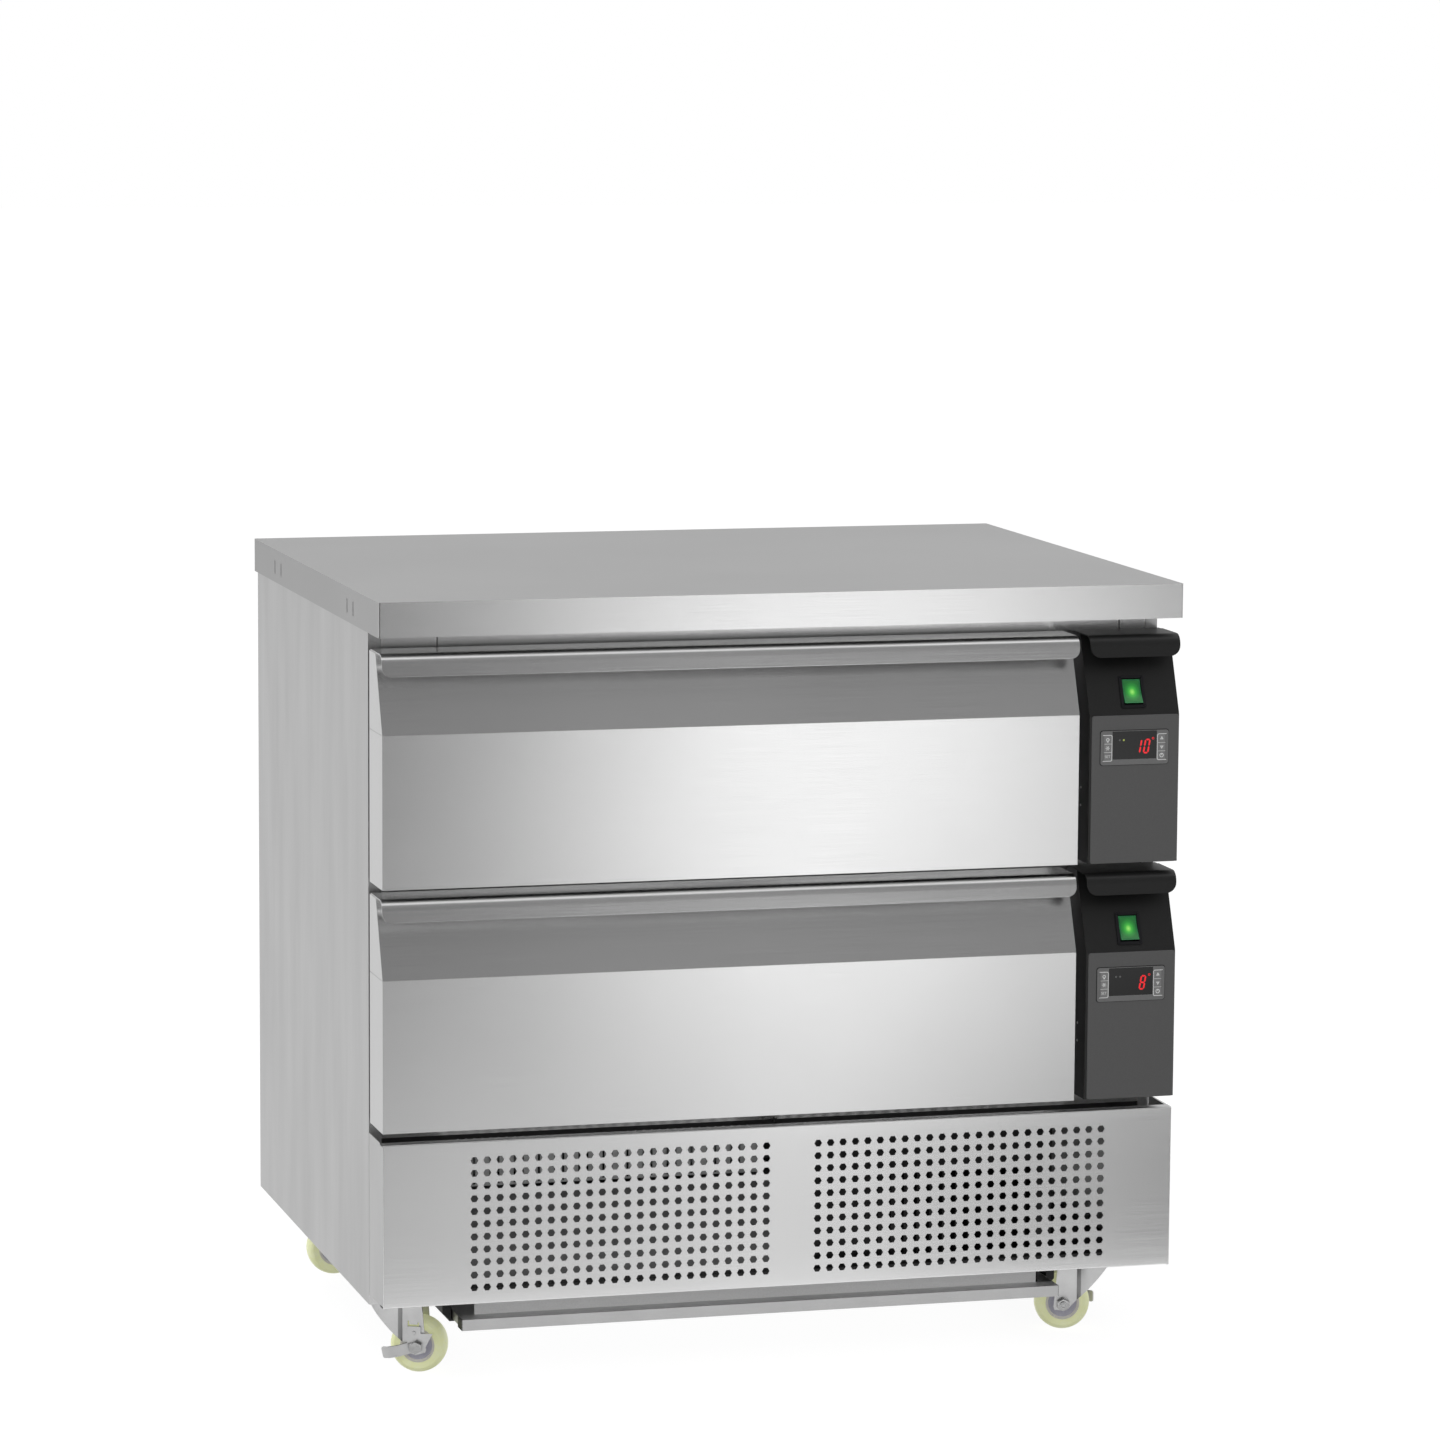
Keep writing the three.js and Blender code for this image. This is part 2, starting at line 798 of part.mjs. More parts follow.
function drawerCore({ top, knee, bottom }) {
  const inset = sheet + gap;
  const outline = frontOutline(front, drawerBack, bottom, knee, top - sheet - gap, inset);
  return prism("x", outline, drawerLeft + inset, drawerRight - inset);
}

function gasket({ top, bottom }) {
  const outer = rectangle(
    drawerLeft + gasketInset,
    drawerRight - gasketInset,
    bottom + gasketInset,
    top - gasketInset,
  );
  const reach = gasketInset + gasketWidth;
  const inner = rectangle(drawerLeft + reach, drawerRight - reach, bottom + reach, top - reach);
  return prism("y", outer, drawerBack + gap, frameY - gap, [inner]);
}

// One member of a telescopic runner: a channel nested in the one before, at the left or right of the opening
function runnerMember(order, side, centreZ, start, end) {
  const edge = side < 0 ? openingLeft : openingRight;
  const step = order * (sheet + slideGap);
  const x = (inward) => edge - side * inward;
  const half = runnerHeight / 2 - step;
  const web = x(gap + step);
  const webInner = x(gap + step + sheet);
  const reach = x(runnerReach + step);
  const outline = [
    [web, centreZ - half],
    [reach, centreZ - half],
    [reach, centreZ - half + sheet],
    [webInner, centreZ - half + sheet],
    [webInner, centreZ + half - sheet],
    [reach, centreZ + half - sheet],
    [reach, centreZ + half],
    [web, centreZ + half],
  ];
  return prism("y", outline, start, end);
}

const runnerFront = frameY + runnerStart;
const runnerBack = cavityBack - runnerEnd;
const runnerCentre = (level) => level.openingTop - runnerDrop;

// Fixed runners of a compartment, joined by posts and ties that stand on its floor
function runnerFrame(level) {
  const centre = runnerCentre(level);
  const floor = level.openingBottom + gap;
  const ends = [runnerFront, runnerBack - tieWidth];
  const rails = [-1, 1].map((side) => runnerMember(0, side, centre, runnerFront, runnerBack));
  const posts = [openingLeft + gap, openingRight - gap - sheet].flatMap((x) =>
    ends.map((y) => box(x, x + sheet, y, y + tieWidth, floor, centre)),
  );
  const ties = ends.map((y) =>
    box(openingLeft + gap, openingRight - gap, y, y + tieWidth, floor, floor + sheet),
  );
  return joined([...rails, ...posts, ...ties]);
}

// Pan frame of a drawer: inner runner members, bars round two pan apertures, and the plate that holds the front
function panFrame(level) {
  const centre = runnerCentre(level);
  const inward = runnerReach + 2 * (sheet + slideGap);
  const frameLeft = openingLeft + inward - sheet;
  const frameRight = openingRight - inward + sheet;
  const plateFront = drawerBack + gap;
  const barHalf = runnerHeight / 2 - 2 * (sheet + slideGap) + sheet / 2;
  const barsBack = cavityBack - panRearGap;
  const apertureFront = frameY + panFrontBar;
  const apertureBack = barsBack - panRearBar;
  const panWidth = (frameRight - frameLeft - 2 * panBar - panMiddleBar) / 2;
  const bars = box(frameLeft, frameRight, plateFront, barsBack, centre - barHalf, centre + barHalf);
  const apertures = [frameLeft + panBar, frameRight - panBar - panWidth].map((x) =>
    box(x, x + panWidth, apertureFront, apertureBack, centre - 2 * barHalf, centre + 2 * barHalf),
  );
  const plate = box(
    frameLeft,
    frameRight,
    plateFront,
    plateFront + panPlate,
    centre - panPlateHeight / 2,
    centre + panPlateHeight / 2,
  );
  const members = [-1, 1].map((side) => runnerMember(2, side, centre, runnerFront, runnerBack));
  return joined([bars.subtract(joined(apertures)), plate, ...members]);
}

// Control box: a shell with the drawers' profile, a lip, a switch housing and a cut-out for the controller
const controlMiddle = (controlLeft + controlRight) / 2;
const controlFaceY = front + controlFace;
const controlKnee = (level) => level.knee - controlKneeDrop;
const slopeAngle = Math.atan(slopeRun / kneeDrop);

// The plane of the slope at a switch's centre: x to the right, y into the box and z up the slope
function slopeFrame(level) {
  const z = controlKnee(level) + switchRise;
  const y = controlFaceY + (switchRise * slopeRun) / kneeDrop;
  const frame = new THREE.Matrix4().makeRotationX(-slopeAngle);
  return frame.setPosition(controlMiddle, y, z);
}

function slopeBox(level, halfX, y0, y1, halfZ) {
  return solid(boxGeometry(-halfX, halfX, y0, y1, -halfZ, halfZ).applyMatrix4(slopeFrame(level)));
}

function controlBox(level) {
  const skinTop = level.top - sheet / 2;
  const backEdge = frameY - gap;
  const knee = controlKnee(level);
  const outline = (inset, edge) => frontOutline(controlFaceY, edge, level.bottom, knee, skinTop, inset);
  const outer = prism("x", outline(0, backEdge), controlLeft, controlRight);
  const hollow = prism("x", outline(sheet, backEdge + overrun), controlLeft + sheet, controlRight - sheet);
  const windowX = rockerWidth / 2 + gap;
  const windowZ = rockerHeight / 2 + 2 * gap;
  const bezel = slopeBox(level, bezelWidth / 2, -bezelProud, sheet, bezelHeight / 2);
  const housing = slopeBox(level, windowX + wellWall, 0, wellDepth, windowZ + wellWall);
  const well = slopeBox(level, windowX, -bezelProud - overrun, wellDepth - wellWall, windowZ);
  const controllerZ = level.knee - controllerDrop;
  const cutOut = box(
    controlMiddle - controllerBodyWidth / 2 - gap,
    controlMiddle + controllerBodyWidth / 2 + gap,
    front - overrun,
    controlFaceY + sheet + overrun,
    controllerZ - controllerBodyHeight / 2 - gap,
    controllerZ + controllerBodyHeight / 2 + gap,
  );
  const shell = outer.subtract(hollow);
  const lipPiece = lip(controlLeft, controlRight, level.top, controlLipCorner);
  return joined([shell, lipPiece, bezel, housing]).subtract(well.add(cutOut));
}

// Rocker: dished face, narrower towards its back, tilted to its ON side about a pivot in the slope's plane
function rocker(level) {
  const half = rockerHeight / 2;
  const backHalf = rockerBackHeight / 2;
  const outline = [
    [-rockerProud, -half],
    [rockerDish - rockerProud, 0],
    [-rockerProud, half],
    [0, half],
    [rockerBack, backHalf],
    [rockerBack, -backHalf],
    [0, -half],
  ];
  const geometry = prismGeometry("x", outline, -rockerWidth / 2, rockerWidth / 2);
  geometry.rotateX(-rockerTilt).applyMatrix4(slopeFrame(level));
  return solid(geometry);
}

const keyRows = [1, 0, -1];
const keySides = { left: -1, right: 1 };

// Centre of a key, in x and z
function keyCentre(level, side, row) {
  return [controlMiddle + side * keyOffset, level.knee - controllerDrop + row * keyPitch];
}

function controller(level) {
  const z = level.knee - controllerDrop;
  const block = (w, h, y0, y1) => box(controlMiddle - w / 2, controlMiddle + w / 2, y0, y1, z - h / 2, z + h / 2);
  const face = front + controllerFace;
  const plate = block(controllerWidth, controllerHeight, face, controlFaceY - gap);
  const body = block(controllerBodyWidth, controllerBodyHeight, face, face + controllerBodyDepth);
  const display = block(displayWidth, displayHeight, face - overrun, face + displayRecess);
  const half = keySize / 2 + gap;
  const wells = Object.values(keySides).flatMap((side) =>
    keyRows.map((row) => {
      const [x, centreZ] = keyCentre(level, side, row);
      const wellBack = front + keyDepth + keyTravel + gap;
      return box(x - half, x + half, front - overrun, wellBack, centreZ - half, centreZ + half);
    }),
  );
  return joined([plate, body]).subtract(joined([display, ...wells]));
}

function key(level, side, row) {
  const [x, z] = keyCentre(level, side, row);
  const half = keySize / 2;
  return box(x - half, x + half, front, front + keyDepth, z - half, z + half);
}

// Castor heights, from its top plate down to the crown of its fork
const plateTop = castorHeight - gap;
const plateBottom = plateTop - castorPlate;
const cupBottom = plateBottom - cupHeight;
const crownTop = cupBottom - gap;
const crownBottom = crownTop - forkSheet;
const forkOuter = forkHalfGap + forkSheet;

function castorTop() {
  const half = castorPlateSize / 2;
  return joined([
    box(-half, half, -half, half, plateBottom, plateTop),
    rod("z", cupRadius, [0, 0], cupBottom, plateTop),
    rod("z", kingPinRadius, [0, 0], crownBottom - gap - kingPinHeadHeight, plateTop, smallSides),
    rod("z", kingPinHead, [0, 0], crownBottom - gap - kingPinHeadHeight, crownBottom - gap, smallSides),
  ]);
}

// Fork: crown round the king pin, two legs, and the axle bolt with its head at -Y and its nut at +Y
function castorFork(braked) {
  const legShares = [
    [-0.65, 1],
    [-0.65, 0.87],
    [-0.3, 0.77],
    [0.55, 0.41],
    [0.83, 0.3],
    [1.03, 0.28],
    [1.3, 0.29],
    [1.35, 0.33],
    [1.29, 0.45],
    [1.17, 1],
  ];
  const leg = legShares.map(([along, up]) => [along * trail, up * crownTop]);
  const crownEnd = leg[leg.length - 1][0];
  const crown = rod("z", crownRadius, [0, 0], crownBottom, crownTop).add(
    box(0, crownEnd, -forkOuter, forkOuter, crownBottom, crownTop),
  );
  const bore = rod("z", kingPinRadius + gap, [0, 0], crownBottom - overrun, crownTop + overrun, smallSides);
  const axle = [trail, wheelRadius];
  const headInner = forkOuter + (braked ? leverSheet + 2 * gap : 0);
  const tip = forkOuter + hexHeight + boltEnd;
  return joined([
    crown.subtract(bore),
    prism("y", leg, -forkOuter, -forkHalfGap),
    prism("y", leg, forkHalfGap, forkOuter),
    rod("y", axleRadius, axle, -headInner - hexHeight, tip, smallSides),
    rod("y", hexRadius, axle, -headInner - hexHeight, -headInner, 6),
    rod("y", hexRadius, axle, forkOuter, forkOuter + hexHeight, 6),
  ]);
}

// Wheel: crowned tread round a recessed web and a hub, with a flat of the tread on the floor
function castorWheel() {
  const boreRadius = axleRadius + gap;
  const hubHalf = forkHalfGap - gap;
  const profileShares = [
    [0.38, 1],
    [0.42, 0.7],
    [0.64, 0.7],
    [0.68, 0.88],
    [0.85, 0.9],
    [0.97, 0.6],
    [1, 0.22],
  ];
  const half = profileShares.map(([r, w]) => [r * wheelRadius, w * hubHalf]);
  const mirrored = [...half].reverse().map(([r, w]) => [r, -w]);
  const outline = [[boreRadius, hubHalf], ...half, ...mirrored, [boreRadius, -hubHalf], [boreRadius, hubHalf]];
  const circumscribed = 1 / Math.cos(Math.PI / roundSides);
  const points = outline.reverse().map(([r, w]) => new THREE.Vector2(r * circumscribed, w));
  const wheel = new THREE.LatheGeometry(points, roundSides);
  wheel.rotateY(Math.PI / roundSides);
  return solid(wheel.translate(trail, 0, wheelRadius));
}

// Brake lever: a plate on the axle bolt outside the fork, with a blade over the wheel and a folded pedal; it lies
// pressed down, or lifted by an angle in degrees
function brakeLever(lift) {
  const inner = -forkOuter - gap;
  const outer = inner - leverSheet;
  const plan = [
    [trail, inner],
    [trail, outer],
    [trail - leverFold, outer],
    [trail - leverFold - leverRun, outer - leverFlare],
    [trail - leverReach + leverTip, outer - leverFlare],
    [trail - leverReach, outer],
    [trail - leverReach, inner],
    [trail - leverReach + leverTip, inner - leverFlare],
    [trail - leverFold - leverRun, inner - leverFlare],
    [trail - leverFold, inner],
  ];
  const half = leverHeight / 2;
  const strip = prismGeometry("z", plan, -half, half);
  strip.translate(-trail, 0, 0).rotateY(-leverDroop).translate(trail, 0, wheelRadius);
  const plateShares = [
    [0.69, 1.72],
    [0.69, 0.9],
    [0.8, 0.76],
    [1, 0.7],
    [1.22, 0.77],
    [1.36, 1.09],
    [1.58, 1.48],
    [1.16, 1.48],
    [1.16, 1.72],
  ];
  const plate = plateShares.map(([along, up]) => [along * trail, up * wheelRadius]);
  const bore = rod("y", axleRadius + gap, [trail, wheelRadius], outer - overrun, inner + overrun, smallSides);
  const pressed = solid(strip).add(prism("y", plate, outer, inner)).subtract(bore);
  return pressed
    .translate([-trail, 0, -wheelRadius])
    .rotate([0, lift, 0])
    .translate([trail, 0, wheelRadius]);
}

// Cabinet
place("worktop", worktop(), stainless);
place("outer_casing", outerCasing(), stainless);
place("insulated_body", insulatedBody(), foam);
place("front_frame", frontFrame(), stainless);
place("grille_panel", grillePanel(), stainless);
place("chassis", chassis(), galvanised);
place("compressor_tray", compressorTray(), galvanised);
place("compressor", compressor(), darkMetal);
place("condenser", condenser(), darkMetal);
place("fan_wheel", fanWheel(), fanPlastic);

// Drawers, runners, evaporators and controls
for (const level of levels) {
  const { name } = level;
  place(`${name}_drawer_front`, drawerFront(level), stainless);
  place(`${name}_handle`, lip(drawerLeft, drawerRight, level.top, lipCorner), stainless);
  place(`${name}_drawer_core`, drawerCore(level), foam);
  place(`${name}_gasket`, gasket(level), rubber);
  place(`${name}_pan_frame`, panFrame(level), stainless);
  place(`${name}_runner_frame`, runnerFrame(level), galvanised);
  for (const [hand, side] of Object.entries({ left: -1, right: 1 })) {
    const member = runnerMember(1, side, runnerCentre(level), runnerFront, runnerBack);
    place(`${name}_middle_runner_${hand}`, member, galvanised);
  }
  place(`${name}_evaporator`, evaporator(level), galvanised);
  place(`${name}_control_box`, controlBox(level), blackPaint);
  place(`${name}_rocker`, rocker(level), greenLens);
  place(`${name}_controller`, controller(level), controllerPlastic);
  for (const [hand, side] of Object.entries(keySides)) {
    keyRows.forEach((row, index) => {
      place(`${name}_key_${hand}_${index + 1}`, key(level, side, row), keyPlastic);
    });
  }
}

// Castors: a fixed plate, under it the rest, turned on the king pin from a trail to +X; the front ones have brakes
const castorEnds = { front: front + castorFrontSetback, rear: back - castorRearInset };
for (const [sideName, side] of Object.entries({ left: -1, right: 1 })) {
  for (const [endName, y] of Object.entries(castorEnds)) {
    const fixed = new THREE.Group();
    fixed.position.set(side * castorX, y, 0);
    root.add(fixed);
    const castor = new THREE.Group();
    castor.rotation.z = THREE.MathUtils.degToRad(castorTurns[`${endName}_${sideName}`]);
    fixed.add(castor);
    const name = `${endName}_${sideName}_castor`;
    const braked = endName === "front";
    place(`${name}_plate`, castorTop(), stainless, fixed);
    place(`${name}_fork`, castorFork(braked), stainless, castor);
    place(`${name}_wheel`, castorWheel(), treadPlastic, castor);
    if (braked) place(`${name}_brake`, brakeLever(leverLifts[sideName]), stainless, castor);
  }
}

export default root;
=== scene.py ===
import json
import math

import bmesh
import bpy
from mathutils import Matrix, Vector

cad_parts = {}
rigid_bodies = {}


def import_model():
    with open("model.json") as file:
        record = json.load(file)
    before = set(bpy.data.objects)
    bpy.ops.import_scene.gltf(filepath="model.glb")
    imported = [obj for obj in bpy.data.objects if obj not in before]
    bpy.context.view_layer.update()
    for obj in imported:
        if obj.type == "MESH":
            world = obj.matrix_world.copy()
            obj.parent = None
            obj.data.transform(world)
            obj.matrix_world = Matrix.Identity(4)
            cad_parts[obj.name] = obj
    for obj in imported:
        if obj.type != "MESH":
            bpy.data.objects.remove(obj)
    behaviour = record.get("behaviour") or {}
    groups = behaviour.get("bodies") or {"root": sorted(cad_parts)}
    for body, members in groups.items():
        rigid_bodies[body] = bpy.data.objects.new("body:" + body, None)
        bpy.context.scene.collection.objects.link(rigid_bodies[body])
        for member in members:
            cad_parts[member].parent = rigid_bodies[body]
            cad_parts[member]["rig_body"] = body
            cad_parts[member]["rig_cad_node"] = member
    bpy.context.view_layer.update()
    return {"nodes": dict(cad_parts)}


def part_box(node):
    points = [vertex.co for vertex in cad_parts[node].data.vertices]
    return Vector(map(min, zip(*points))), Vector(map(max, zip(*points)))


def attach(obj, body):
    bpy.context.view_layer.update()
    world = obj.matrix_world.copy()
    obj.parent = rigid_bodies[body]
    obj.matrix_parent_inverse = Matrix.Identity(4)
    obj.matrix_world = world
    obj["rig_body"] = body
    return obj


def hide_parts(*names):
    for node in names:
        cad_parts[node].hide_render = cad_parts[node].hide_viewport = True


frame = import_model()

WIDTH = 0.905
LEVELS = ("upper", "lower")
HANDS = ("left", "right")
KEY_ROWS = (1, 2, 3)

# Sheet metal
SHEET = 0.0015
EDGE_ROUND = 0.0004
FOLD_ROUND = 0.0012
SMOOTH_ANGLE = math.radians(35)
FLAT_ANGLE = math.radians(2)
ROUND_SIDES = 48
SMALL_SIDES = 24
HEX_SIDES = 6

# Tolerances, and how far a cutter runs past what it cuts
MERGE = 0.00002
NEAR = 0.00005
OVERRUN = 0.005
FRONT_FACING = 0.9

# Worktop
WORKTOP_ROUND = 0.002
WORKTOP_LIP = 0.014
WORKTOP_PLATE = 0.002
WORKTOP_HOLLOW = 0.0018
DIMPLE_WIDTH = 0.004
DIMPLE_HEIGHT = 0.017
DIMPLE_DEPTH = 0.0006
DIMPLE_LEVEL = 0.8493
DIMPLE_PLACES = (0.2228, 0.1866, -0.1867, -0.2186)

# Drawer fronts, lips and control boxes
SLOPE_RUN = 0.035
KNEE_DROP = 0.0865
CONTROL_KNEE_DROP = 0.0885
LIP_DROP = 0.024
LIP_DEPTH = 0.06
LIP_RADIUS = 0.012
LIP_CORNER = 0.010
CONTROL_LIP_CORNER = 0.012
LIP_LEAN = 0.0017
LIP_STEPS = 6
LIP_ANGLE = math.radians(50)
SEAM_WIDTH = 0.0006
SEAM_DEPTH = 0.0008

TURNS = {"x": (0, math.pi / 2, 0), "y": (math.pi / 2, 0, 0), "z": (0, 0, 0)}


# Modelling steps that the pieces share
def alone(piece):
    """Selects one piece and nothing else."""
    bpy.ops.object.select_all(action="DESELECT")
    piece.select_set(True)
    bpy.context.view_layer.objects.active = piece


def fix_place(piece):
    """Puts a piece's place, turn and scale in its mesh."""
    alone(piece)
    bpy.ops.object.transform_apply(location=True, rotation=True, scale=True)
    return piece


def block(name, low, high):
    """A block between two corners."""
    bpy.ops.object.select_all(action="DESELECT")
    low = Vector(low)
    high = Vector(high)
    bpy.ops.mesh.primitive_cube_add(size=1, location=(low + high) / 2, scale=high - low)
    piece = bpy.context.object
    piece.name = name
    return fix_place(piece)


def rod(name, axis, centre, radius, length, sides=SMALL_SIDES):
    """A round bar about a centre."""
    bpy.ops.object.select_all(action="DESELECT")
    bpy.ops.mesh.primitive_cylinder_add(
        vertices=sides, radius=radius, depth=length, location=centre, rotation=TURNS[axis]
    )
    piece = bpy.context.object
    piece.name = name
    return fix_place(piece)


def sheet_face(name, low, high, axis):
    """A flat rectangle between two corners, facing -Y or +Z."""
    bpy.ops.object.select_all(action="DESELECT")
    low = Vector(low)
    high = Vector(high)
    size = high - low
    bpy.ops.mesh.primitive_plane_add(size=1, location=(low + high) / 2, rotation=TURNS[axis])
    piece = bpy.context.object
    piece.name = name
    piece.scale = (size.x, size.z, 1) if axis == "y" else (size.x, size.y, 1)
    return fix_place(piece)


def pick(piece, kind, test):
    """Goes to edit mode and selects the points, edges or faces that pass a test."""
    alone(piece)
    bpy.ops.object.mode_set(mode="EDIT")
    bpy.ops.mesh.select_mode(type=kind)
    bpy.ops.mesh.select_all(action="DESELECT")
    mesh = bmesh.from_edit_mesh(piece.data)
    mesh.normal_update()
    members = {"VERT": mesh.verts, "EDGE": mesh.edges, "FACE": mesh.faces}[kind]
    for member in members:
        if test(member):
            member.select_set(True)
    mesh.select_flush_mode()
    bmesh.update_edit_mesh(piece.data)


def done():
    """Leaves edit mode."""
    bpy.ops.object.mode_set(mode="OBJECT")


def shift(*way):
    """Moves what is selected."""
    bpy.ops.transform.translate(value=way)


def pull(*way):
    """Extrudes what is selected and moves it."""
    bpy.ops.mesh.extrude_region_move(TRANSFORM_OT_translate={"value": way})


def extrude(piece, kind, test, *way):
    """Extrudes the points, edges or faces that pass a test."""
    pick(piece, kind, test)
    pull(*way)
    done()


def move(piece, kind, test, *way):
    """Moves the points, edges or faces that pass a test."""
    pick(piece, kind, test)
    shift(*way)
    done()


def spread(centre, *factors):
    """Scales what is selected about a centre."""
    bpy.ops.transform.resize(value=factors, center_override=centre)


def faces_to(*way):
    """A test for faces that look one way."""
    normal = Vector(way)
    return lambda face: face.normal.dot(normal) > 1 - NEAR


def at(axis, place):
    """A test for points, edges or faces that lie in a plane."""
    index = "xyz".index(axis)

    def test(member):
        points = getattr(member, "verts", None) or [member]
        return all(abs(point.co[index] - place) < NEAR for point in points)

    return test


def both(*tests):
    """A test for what passes every one of some tests."""
    return lambda member: all(test(member) for test in tests)


def round_edges(piece, test, width, segments):
    """Bevels the edges that pass a test."""
    pick(piece, "EDGE", test)
    bpy.ops.mesh.bevel(offset=width, segments=segments, affect="EDGES")
    done()


def apply(piece, kind, **settings):
    """Adds a modifier with its settings and applies it."""
    modifier = piece.modifiers.new(kind.title(), kind)
    for setting, value in settings.items():
        setattr(modifier, setting, value)
    alone(piece)
    bpy.ops.object.modifier_apply(modifier=modifier.name)


def soften(piece, width=EDGE_ROUND, segments=2, angle=SMOOTH_ANGLE):
    """Rounds every sharp edge of a piece."""
    apply(piece, "BEVEL", width=width, segments=segments, limit_method="ANGLE", angle_limit=angle)


def thicken(piece, thickness=SHEET):
    apply(piece, "SOLIDIFY", thickness=thickness, offset=-1, use_even_offset=True)


def cut(piece, *cutters):
    """Takes cutters out of a piece."""
    for cutter in cutters:
        apply(piece, "BOOLEAN", object=cutter, operation="DIFFERENCE", solver="EXACT")
        bpy.data.objects.remove(cutter)


def unite(piece, *others):
    """Melts other pieces into one."""
    for other in others:
        apply(piece, "BOOLEAN", object=other, operation="UNION", solver="EXACT")
        bpy.data.objects.remove(other)


def trim(piece, outline):
    """Cuts off what lies outside the planes through an outline of points (x, z), inside on its left."""
    for (x0, z0), (x1, z1) in zip(outline, outline[1:]):
        pick(piece, "FACE", lambda face: True)
        way = Vector((z1 - z0, 0, x0 - x1)).normalized()
        bpy.ops.mesh.bisect(plane_co=(x0, 0, z0), plane_no=way, use_fill=True, clear_outer=True)
        done()


def join(name, pieces):
    """Joins pieces into one."""
    bpy.ops.object.select_all(action="DESELECT")
    for piece in pieces:
        piece.select_set(True)
    bpy.context.view_layer.objects.active = pieces[0]
    bpy.ops.object.join()
    pieces[0].name = name
    return pieces[0]


def copy_of(piece, name, *way):
    """A copy with its own mesh, moved by a distance."""
    alone(piece)
    bpy.ops.object.duplicate(linked=False)
    copy = bpy.context.object
    copy.name = name
    if way:
        copy.location = way
        fix_place(copy)
    return copy


def turned_about(piece, centre, angle, axis="Y"):
    """Turns a piece about an axis through a centre."""
    home = Matrix.Translation(centre)
    piece.matrix_world = home @ Matrix.Rotation(angle, 4, axis) @ home.inverted()
    return fix_place(piece)


def node_copy(node, name):
    """A merged copy of a CAD node, to be softened or cut."""
    copy = copy_of(frame["nodes"][node], name)
    copy.parent = None
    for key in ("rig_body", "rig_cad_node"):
        del copy[key]
    alone(copy)
    bpy.ops.object.mode_set(mode="EDIT")
    bpy.ops.mesh.select_all(action="SELECT")
    bpy.ops.mesh.remove_doubles(threshold=MERGE)
    bpy.ops.mesh.dissolve_limited(angle_limit=FLAT_ANGLE)
    done()
    return copy


def settle(piece, body, material, slot, *nodes):
    """Gives a piece its finish and lets it ride on its body, in place of the nodes it stands for."""
    piece.data.materials.clear()
    piece.data.materials.append(material)
    alone(piece)
    bpy.ops.object.shade_smooth_by_angle(angle=SMOOTH_ANGLE)
    apply(piece, "WEIGHTED_NORMAL", keep_sharp=True)
    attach(piece, body)
    if nodes:
        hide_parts(*nodes)
    return piece


def paint(piece, material, test):
    """Gives the faces that pass a test a second finish."""
    piece.data.materials.append(material)
    pick(piece, "FACE", test)
    piece.active_material_index = len(piece.data.materials) - 1
    bpy.ops.object.material_slot_assign()
    done()


def edge_runs(edge, axis):
    """Whether an edge is parallel to an axis."""
    index = "xyz".index(axis)
    way = edge.verts[1].co - edge.verts[0].co
    return way.length > NEAR and abs(way[index]) > (1 - NEAR) * way.length


# Shader parts
NOISE_SPAN = (0.3, 0.7)
NOISE_SHARE = 0.6
STREAK_SHARE = 0.65
CLOUD_SHARE = 0.5
GLOW_BASE_SHARE = 0.2
LIT_ROUGHNESS = 0.3
WINDOW_ROUGHNESS = 0.2
WINDOW_GREEN = (0.01, 0.1, 0.02, 1)


def add_node(tree, kind, **values):
    """Adds a shader node, with values for its settings and unlinked inputs."""
    node = tree.nodes.new(kind)
    for key, value in values.items():
        if key in node.inputs:
            node.inputs[key].default_value = value
        else:
            setattr(node, key, value)
    return node


def grain_group():
    """Brushed grain: fine streaks along one axis, and soft clouds, both from 0 to 1."""
    group = bpy.data.node_groups.new("brushed_grain", "ShaderNodeTree")
    group.interface.new_socket("Stretch", in_out="INPUT", socket_type="NodeSocketVector")
    group.interface.new_socket("Cloud size", in_out="INPUT", socket_type="NodeSocketVector")
    group.interface.new_socket("Streaks", in_out="OUTPUT", socket_type="NodeSocketFloat")
    group.interface.new_socket("Clouds", in_out="OUTPUT", socket_type="NodeSocketFloat")
    link = group.links.new
    given = add_node(group, "NodeGroupInput")
    result = add_node(group, "NodeGroupOutput")
    place = add_node(group, "ShaderNodeTexCoord")
    drawn = add_node(group, "ShaderNodeVectorMath", operation="MULTIPLY")
    wide = add_node(group, "ShaderNodeVectorMath", operation="MULTIPLY")
    streaks = add_node(group, "ShaderNodeTexNoise", Scale=1, Detail=3, Roughness=STREAK_SHARE)
    clouds = add_node(group, "ShaderNodeTexNoise", Scale=1, Detail=2, Roughness=CLOUD_SHARE)
    link(place.outputs["Object"], drawn.inputs[0])
    link(given.outputs["Stretch"], drawn.inputs[1])
    link(drawn.outputs[0], streaks.inputs["Vector"])
    link(place.outputs["Object"], wide.inputs[0])
    link(given.outputs["Cloud size"], wide.inputs[1])
    link(wide.outputs[0], clouds.inputs["Vector"])
    link(streaks.outputs["Fac"], result.inputs["Streaks"])
    link(clouds.outputs["Fac"], result.inputs["Clouds"])
    return group


GRAIN = grain_group()


def new_material(name):
    material = bpy.data.materials.new(name)
    material.use_nodes = True
    tree = material.node_tree
    return material, tree, tree.nodes["Principled BSDF"]


